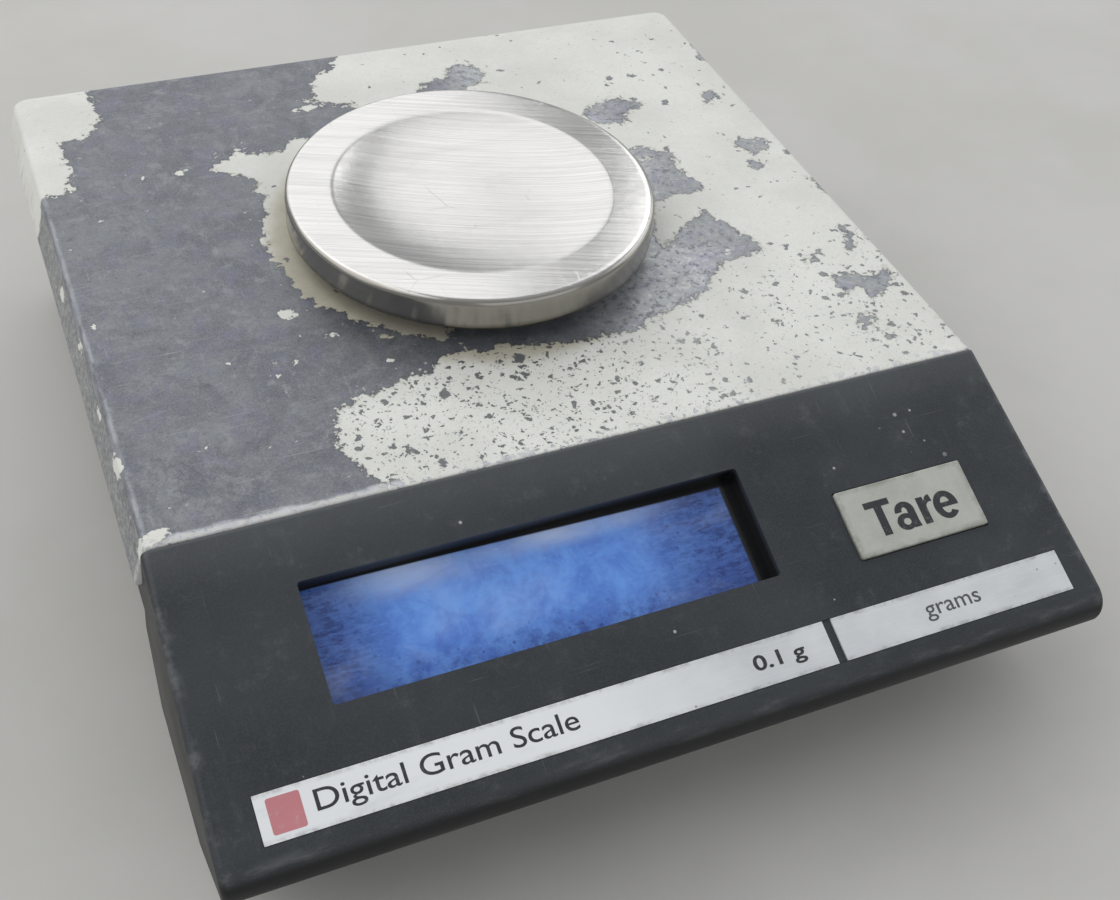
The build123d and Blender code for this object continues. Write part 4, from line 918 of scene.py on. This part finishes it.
# ---------------------------------------------------------------------------
# Printed legends, as thin raised ink.
# ---------------------------------------------------------------------------
def legend(name, text, x0, x1, s0, s1, n, thick=0.05, bold=0.0, bodyname="chassis", shear=0.0):
    """Text filling x0 to x1 across and s0 to s1 down the panel, its ink thick mm above n."""
    cu = bpy.data.curves.new(name + "_curve", "FONT")
    cu.body = text
    cu.size = 1.0
    cu.extrude = 0.01
    cu.offset = bold
    cu.shear = shear
    cu.resolution_u = 6
    tmp = bpy.data.objects.new(name + "_tmp", cu)
    bpy.context.scene.collection.objects.link(tmp)
    bpy.context.view_layer.update()
    me = bpy.data.meshes.new_from_object(tmp.evaluated_get(bpy.context.evaluated_depsgraph_get()))
    bpy.data.objects.remove(tmp)
    bpy.data.curves.remove(cu)
    me.name = name
    co = np.zeros(len(me.vertices) * 3, np.float32)
    me.vertices.foreach_get("co", co)
    co = co.reshape(-1, 3)
    lo, hi = co.min(0), co.max(0)
    u = (co[:, 0] - lo[0]) / (hi[0] - lo[0])
    v = (co[:, 1] - lo[1]) / (hi[1] - lo[1])
    w = (co[:, 2] - lo[2]) / max(hi[2] - lo[2], 1e-9)
    loc = np.stack([x0 + (x1 - x0) * u, -(s1 + (s0 - s1) * v), n + thick * w], 1) * MM
    x, y, z = loc.T
    world = np.stack([x, Y_F * MM + y * CA - z * SA, Z_TOP * MM + y * SA + z * CA], 1)
    me.vertices.foreach_set("co", world.astype(np.float32).ravel())
    me.update()
    ob = bpy.data.objects.new(name, me)
    bpy.context.scene.collection.objects.link(ob)
    bm = bmesh.new()
    bm.from_mesh(me)
    bmesh.ops.remove_doubles(bm, verts=bm.verts, dist=1e-7)
    bmesh.ops.recalc_face_normals(bm, faces=bm.faces)
    bm.to_mesh(me)
    bm.free()
    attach(ob, bodyname)
    return ob


def ell(cx, cy, rx, ry, a0, a1, n=26):
    """Points on an ellipse from angle a0 to a1, in degrees."""
    return [(cx + rx * math.cos(math.radians(a0 + (a1 - a0) * k / n)), cy + ry * math.sin(math.radians(a0 + (a1 - a0) * k / n)))
            for k in range(n + 1)]


def prism(loops, name):
    """Flat filled outline with holes, as a solid one unit thick."""
    cu = bpy.data.curves.new(name, "CURVE")
    cu.dimensions = "2D"
    cu.fill_mode = "BOTH"
    cu.extrude = 0.5
    for pts in loops:
        sp = cu.splines.new("POLY")
        sp.points.add(len(pts) - 1)
        for q, (x, y) in zip(sp.points, pts):
            q.co = (x, y, 0, 1)
        sp.use_cyclic_u = True
    ob = bpy.data.objects.new(name, cu)
    bpy.context.scene.collection.objects.link(ob)
    bpy.context.view_layer.update()
    me = bpy.data.meshes.new_from_object(ob.evaluated_get(bpy.context.evaluated_depsgraph_get()))
    bpy.data.objects.remove(ob)
    bm = bmesh.new()
    bm.from_mesh(me)
    bmesh.ops.remove_doubles(bm, verts=bm.verts, dist=1e-5)
    bmesh.ops.recalc_face_normals(bm, faces=bm.faces)
    bm.to_mesh(me)
    bm.free()
    ob = bpy.data.objects.new(name, me)
    bpy.context.scene.collection.objects.link(ob)
    return ob


def key_word(name, x0, x1, s0, s1, n, thick):
    """The word on the key in a bold grotesque, drawn letter by letter and printed onto the key."""
    cap, xh, st = 1.0, 0.76, 0.205
    parts = []
    # capital T
    parts.append([[(0, cap), (0, cap - 0.18), (0.235, cap - 0.18), (0.235, 0), (0.445, 0), (0.445, cap - 0.18),
                   (0.68, cap - 0.18), (0.68, cap)]])
    # a: arch and stem, then its bowl
    ax = 0.66
    arch = [(ax + 0.055, 0.50)] + ell(ax + 0.315, 0.50, 0.262, 0.275, 172, 0, 20) + [(ax + 0.577, 0.16), (ax + 0.60, 0.0),
            (ax + 0.40, 0.0), (ax + 0.375, 0.12), (ax + 0.375, 0.47)] + ell(ax + 0.31, 0.50, 0.072, 0.115, 0, 168, 12) + [(ax + 0.235, 0.50)]
    parts.append([arch])
    parts.append([ell(ax + 0.255, 0.215, 0.245, 0.235, 0, 360, 40)[:-1], ell(ax + 0.275, 0.215, 0.098, 0.098, 0, 360, 24)[:-1]])
    # r
    rx = 1.37
    parts.append([[(rx, 0), (rx, xh), (rx + 0.185, xh), (rx + 0.19, 0.64)] + ell(rx + 0.36, 0.555, 0.17, 0.225, 150, 84, 8) +
                  [(rx + 0.40, 0.58), (rx + 0.36, 0.585)] + ell(rx + 0.345, 0.43, 0.14, 0.155, 96, 180, 8) + [(rx + 0.205, 0)]])
    # e: ring with a bar and an open throat
    ex, cy = 2.09, 0.375
    outer = ell(ex, cy, 0.325, 0.400, -4, 322, 48)
    inner = ell(ex, cy, 0.135, 0.245, 316, 198, 18)
    parts.append([outer + inner + [(ex - 0.128, cy - 0.055), (ex + 0.322, cy - 0.055)],
                  [(ex - 0.122, cy + 0.075)] + ell(ex, cy + 0.055, 0.124, 0.180, 172, 8, 16) + [(ex + 0.122, cy + 0.075)]])
    obs = [prism(loops, f"{name}_{i}") for i, loops in enumerate(parts)]
    base = obs[1]
    mod = base.modifiers.new("bowl", "BOOLEAN")
    mod.operation, mod.solver, mod.object = "UNION", "EXACT", obs[2]
    bpy.context.view_layer.update()
    joined = bpy.data.meshes.new_from_object(base.evaluated_get(bpy.context.evaluated_depsgraph_get()))
    bm = bmesh.new()
    bm.from_mesh(joined)
    for o in (obs[0], obs[3], obs[4]):
        bm.from_mesh(o.data)
    for o in obs:
        bpy.data.objects.remove(o)
    top = 1.0
    wide = 2.09 + 0.325
    for v in bm.verts:
        x, y, z = v.co
        px = x0 + (x1 - x0) * x / wide
        ps = s1 - (s1 - s0) * y / top
        pn = n + thick * (z + 0.5)
        v.co = Vector((px, Y_F - ps * CA - pn * SA, Z_TOP - ps * SA + pn * CA)) * MM
    bmesh.ops.recalc_face_normals(bm, faces=bm.faces)
    me = bpy.data.meshes.new(name)
    bm.to_mesh(me)
    bm.free()
    ob = bpy.data.objects.new(name, me)
    bpy.context.scene.collection.objects.link(ob)
    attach(ob, "tare_key")
    return ob


def inset_plate(name, x0, x1, s0, s1, n, thick, r, bodyname="chassis"):
    """Thin plate with rounded corners and a softened upper edge, on the panel."""
    bm = bmesh.new()
    rows = []
    for inset, h in ((0.0, 0.0), (0.0, thick * 0.7), (thick * 0.35, thick)):
        pts = []
        rad = max(r - inset, 0.02)
        for cx, cy, a0 in ((x1 - r, -s0 - r, 0), (x0 + r, -s0 - r, 90), (x0 + r, -s1 + r, 180), (x1 - r, -s1 + r, 270)):
            for k in range(7):
                a = math.radians(a0 + 90 * k / 6)
                pts.append((cx + rad * math.cos(a), cy + rad * math.sin(a), n + h))
        rows.append(pts)
    vs = []
    for pts in rows:
        vs.append([bm.verts.new((x * MM, Y_F * MM + (y * CA - z * SA) * MM, Z_TOP * MM + (y * SA + z * CA) * MM)) for x, y, z in pts])
    k = len(vs[0])
    for a, b in zip(vs, vs[1:]):
        for i in range(k):
            bm.faces.new((a[i], a[(i + 1) % k], b[(i + 1) % k], b[i]))
    bm.faces.new(vs[-1])
    bm.faces.new(list(reversed(vs[0])))
    bmesh.ops.recalc_face_normals(bm, faces=bm.faces)
    me = bpy.data.meshes.new(name)
    bm.to_mesh(me)
    bm.free()
    ob = bpy.data.objects.new(name, me)
    bpy.context.scene.collection.objects.link(ob)
    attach(ob, bodyname)
    return ob


# ---------------------------------------------------------------------------
# Put it together.
# ---------------------------------------------------------------------------
cover = build_cover()
assign(cover, mat_cover())
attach(cover, "chassis")
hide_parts("top_cover")

pan = build_pan()
assign(pan, mat_pan())
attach(pan, "weighing_pan")
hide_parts("weighing_pan")

ink = mat_print("dark_ink", srgb(44, 46, 50), srgb(120, 122, 120))
ink2 = mat_print("grey_ink", srgb(78, 80, 84), srgb(140, 142, 142))
red = mat_print("red_ink", srgb(190, 124, 130), srgb(212, 182, 184))
tare = key_word("tare_legend", 53.4, 76.7, 30.9, 39.5, 0.70, 0.05)
assign(tare, ink)
for nm, txt, x0, x1, s0, s1, bold, mt in (
        ("strip_legend_name", "Digital Gram Scale", -81.6, -27.0, 55.8, 61.4, 0.004, ink),
        ("strip_legend_step", "0.1 g", 13.5, 26.0, 56.5, 60.9, 0.02, ink),
        ("strip_legend_unit", "grams", 57.0, 71.5, 57.2, 60.9, 0.004, ink2)):
    ob = legend(nm, txt, x0, x1, s0, s1, 0.10, 0.03, bold)
    assign(ob, mt)
mark = inset_plate("strip_colour_mark", -90.6, -84.0, 54.9, 62.0, 0.10, 0.035, 0.5)
assign(mark, red)

bezel = mat_bezel()
assign(NODES["front_bezel"], bezel)
assign(NODES["base_tray"], mat_base())
assign(NODES["display_window"], mat_window())
assign(NODES["tare_key"], mat_key())
lab = mat_label()
for nm in ("label_strip_left", "label_strip_right"):
    assign(NODES[nm], lab)

rubber = mat_plain("moulded_rubber", srgb(26, 26, 27), srgb(42, 42, 43), (0.62, 0.78), grain=1500, bump=0.00012,
                   wear=srgb(74, 72, 68), spec=0.3)
zinc = mat_plain("zinc_plate", srgb(150, 152, 154), srgb(184, 186, 186), (0.26, 0.42), 1.0, grain=2400,
                 bump=0.00004, wear=srgb(120, 116, 104))
spring = mat_plain("spring_wire", srgb(130, 132, 136), srgb(168, 170, 172), (0.24, 0.38), 1.0, grain=3000, bump=0.00002)
milled = mat_plain("milled_aluminium", srgb(176, 178, 180), srgb(204, 206, 207), (0.28, 0.42), 1.0,
                   stretch=(60, 3000, 3000), bump=0.00003, spots=srgb(110, 110, 108))
cast = mat_plain("cast_alloy", srgb(140, 142, 144), srgb(168, 170, 171), (0.44, 0.58), 0.9, grain=900, bump=0.00018)
black = mat_plain("black_component", srgb(20, 20, 22), srgb(34, 34, 37), (0.42, 0.56), grain=2100, bump=0.00006,
                  wear=srgb(58, 58, 58))
tin = mat_plain("tinned_plate", srgb(160, 161, 158), srgb(190, 191, 188), (0.24, 0.40), 1.0, grain=1300, bump=0.00003,
                wear=srgb(130, 124, 108))
brass = mat_plain("turned_brass", srgb(150, 112, 54), srgb(190, 150, 84), (0.24, 0.36), 1.0, stretch=(900, 900, 5200),
                  bump=0.00003, wear=srgb(96, 74, 42))
glass = mat_plain("display_cell", srgb(52, 60, 72), srgb(74, 84, 98), (0.10, 0.20), grain=1600, bump=0.00001, spec=0.6)
foam = mat_plain("foam_gasket", srgb(18, 18, 18), srgb(34, 34, 34), (0.8, 0.95), grain=1400, bump=0.0003, spec=0.2)
board = mat_plain("solder_resist", srgb(20, 62, 38), srgb(34, 86, 52), (0.22, 0.34), grain=1200, bump=0.00003,
                  spots=srgb(180, 176, 150))
sleeve = mat_plain("shrink_sleeve", srgb(20, 26, 52), srgb(34, 42, 78), (0.22, 0.34), grain=1500, bump=0.00002)
ribbon = mat_plain("ribbon_insulation", srgb(120, 122, 126), srgb(150, 152, 156), (0.42, 0.55),
                   stretch=(1600, 60, 1600), bump=0.00010)
silicone = mat_plain("silicone_seal", srgb(176, 174, 164), srgb(204, 202, 192), (0.42, 0.6), grain=500, bump=0.0003)
wheel = mat_plain("black_wheel", srgb(22, 22, 24), srgb(40, 40, 43), (0.4, 0.55), grain=1700, bump=0.00008,
                  wear=srgb(86, 84, 78))

FINISH = {
    "moulded": (rubber, ["rear_feet", "left_foot_pad", "right_foot_pad", "cushion_ring"]),
    "zinc": (zinc, ["display_board_screws", "load_cell_screws", "overload_stop", "stop_lock_nut", "cover_studs",
                    "cover_screws", "bezel_screws", "main_board_screws", "carrier_screws", "port_standoffs"]),
    "spring": (spring, ["key_spring"]),
    "milled": (milled, ["load_cell", "carrier_spacer", "heat_sink"]),
    "cast": (cast, ["pan_carrier", "support_disc"]),
    "black": (black, ["board_chips", "power_jack", "key_switch", "voltage_regulator", "cable_headers", "switch_plunger"]),
    "tin": (tin, ["adc_shield", "serial_port"]),
    "brass": (brass, ["foot_inserts"]),
    "glass": (glass, ["display_module"]),
    "foam": (foam, ["window_gasket"]),
    "board": (board, ["display_board", "main_board"]),
    "sleeve": (sleeve, ["board_capacitors"]),
    "ribbon": (ribbon, ["flat_cable", "load_cell_cable"]),
    "silicone": (silicone, ["gauge_seals"]),
    "wheel": (wheel, ["left_foot_screw", "right_foot_screw"]),
}
for mt, names in FINISH.values():
    for nm in names:
        assign(NODES[nm], mt)


def key_coil():
    """Return spring of the key, with closed end turns."""
    node = NODES["key_spring"]
    co = np.zeros(len(node.data.vertices) * 3)
    node.data.vertices.foreach_get("co", co)
    co = co.reshape(-1, 3) / MM
    e3 = np.array((0.0, -SA, CA))
    e1 = np.array((1.0, 0.0, 0.0))
    e2 = np.cross(e3, e1)
    h, a, b = co @ e3, co @ e1, co @ e2
    lo, hi = h.min(), h.max()
    mid = e1 * (a.min() + a.max()) / 2 + e2 * (b.min() + b.max()) / 2
    wire = 0.35
    big = (a.max() - a.min()) / 2 - wire
    turns, per, ring = 4.5, 40, 10
    count = int(turns * per)
    climb = [0.12 if i < 0.6 * per or i > count - 0.6 * per else 1.0 for i in range(count)]
    level = np.concatenate([[0.0], np.cumsum(climb)])
    level = lo + wire + (hi - lo - 2 * wire) * level / level[-1]
    verts, faces = [], []
    for i in range(count + 1):
        t = 2 * math.pi * i / per
        out = e1 * math.cos(t) + e2 * math.sin(t)
        c = mid + out * big + e3 * level[i]
        for k in range(ring):
            q = 2 * math.pi * k / ring
            verts.append(tuple((c + out * wire * math.cos(q) + e3 * wire * math.sin(q)) * MM))
    for i in range(count):
        for k in range(ring):
            n = (k + 1) % ring
            faces.append((i * ring + k, i * ring + n, (i + 1) * ring + n, (i + 1) * ring + k))
    faces.append(tuple(range(ring)))
    faces.append(tuple(count * ring + k for k in reversed(range(ring))))
    ob = new_mesh("key_return_coil", verts, faces)
    w = bmesh.new()
    w.from_mesh(ob.data)
    bmesh.ops.recalc_face_normals(w, faces=w.faces)
    w.to_mesh(ob.data)
    w.free()
    ob.data.shade_smooth()
    assign(ob, spring)
    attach(ob, "chassis")
    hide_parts("key_spring")
    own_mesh(ob)
    return ob


key_coil()

# ---------------------------------------------------------------------------
# Floor, light, camera.
# ---------------------------------------------------------------------------
fm = Mat("pale_floor")
tone = fm.mix(fm.step(fm.noise(7, 5, 0.6), 0.35, 0.65), srgb(198, 197, 193), srgb(206, 205, 202))
fm.set(Base_Color=tone, Roughness=0.7)
fm.set(Normal=fm.bump(fm.noise(700, 3, 0.6), 0.0001, 0.2))
bm = bmesh.new()
bmesh.ops.create_grid(bm, x_segments=8, y_segments=8, size=3.0)
me = bpy.data.meshes.new("studio_floor")
bm.to_mesh(me)
bm.free()
floor = bpy.data.objects.new("studio_floor", me)
floor.location = (0, 0, -0.0002)
bpy.context.scene.collection.objects.link(floor)
assign(floor, fm)

world = bpy.data.worlds.new("studio")
bpy.context.scene.world = world
world.use_nodes = True
bg = world.node_tree.nodes.get("Background")
bg.inputs["Color"].default_value = (0.97, 0.98, 1.0, 1)
bg.inputs["Strength"].default_value = 0.42


def area(name, loc, target, size, power, colour=(1, 1, 1)):
    li = bpy.data.lights.new(name, "AREA")
    li.shape = "RECTANGLE"
    li.size, li.size_y = size
    li.energy = power
    li.color = colour
    ob = bpy.data.objects.new(name, li)
    ob.location = loc
    ob.rotation_mode = "QUATERNION"
    ob.rotation_quaternion = (Vector(target) - Vector(loc)).to_track_quat("-Z", "Y")
    bpy.context.scene.collection.objects.link(ob)
    return ob


area("back_card", (-0.20, 2.18, 1.50), (0, 0.02, 0.06), (2.40, 2.70), 19.4, (1.0, 1.0, 1.0))
area("back_strip", (1.48, 1.84, 1.68), (0, 0.02, 0.06), (0.70, 0.80), 3.6, (1.0, 1.0, 1.0))
area("key_light", (-0.95, 0.35, 1.15), (0, 0, 0.04), (1.80, 1.80), 9.9, (1.0, 0.99, 0.97))
area("side_light", (1.50, 0.30, 0.72), (0, 0, 0.04), (1.40, 1.10), 4.2, (1.0, 1.0, 1.0))
area("front_fill", (0.30, -1.10, 0.64), (0, -0.05, 0.04), (1.30, 0.90), 1.8, (1.0, 1.0, 1.0))

cam = bpy.data.cameras.new("camera")
cam.sensor_width = 36.0
cam.sensor_fit = "HORIZONTAL"
cam.lens = 46.475
cam.clip_start, cam.clip_end = 0.01, 20
cam.dof.use_dof = False
cam_ob = bpy.data.objects.new("camera", cam)
right = Vector((0.91719, -0.39068, 0.07824)).normalized()
down = Vector((-0.22432, -0.66861, -0.70897)).normalized()
fwd = right.cross(down).normalized()
down = fwd.cross(right).normalized()
rot = Matrix((right, -down, -fwd)).transposed()
cam_ob.matrix_world = Matrix.Translation((-0.114349, -0.257785, 0.284683)) @ rot.to_4x4()
bpy.context.scene.collection.objects.link(cam_ob)
bpy.context.scene.camera = cam_ob

sc = bpy.context.scene
sc.view_settings.view_transform = "Standard"
sc.view_settings.look = "None"
sc.view_settings.exposure = 0.0

bpy.context.view_layer.update()
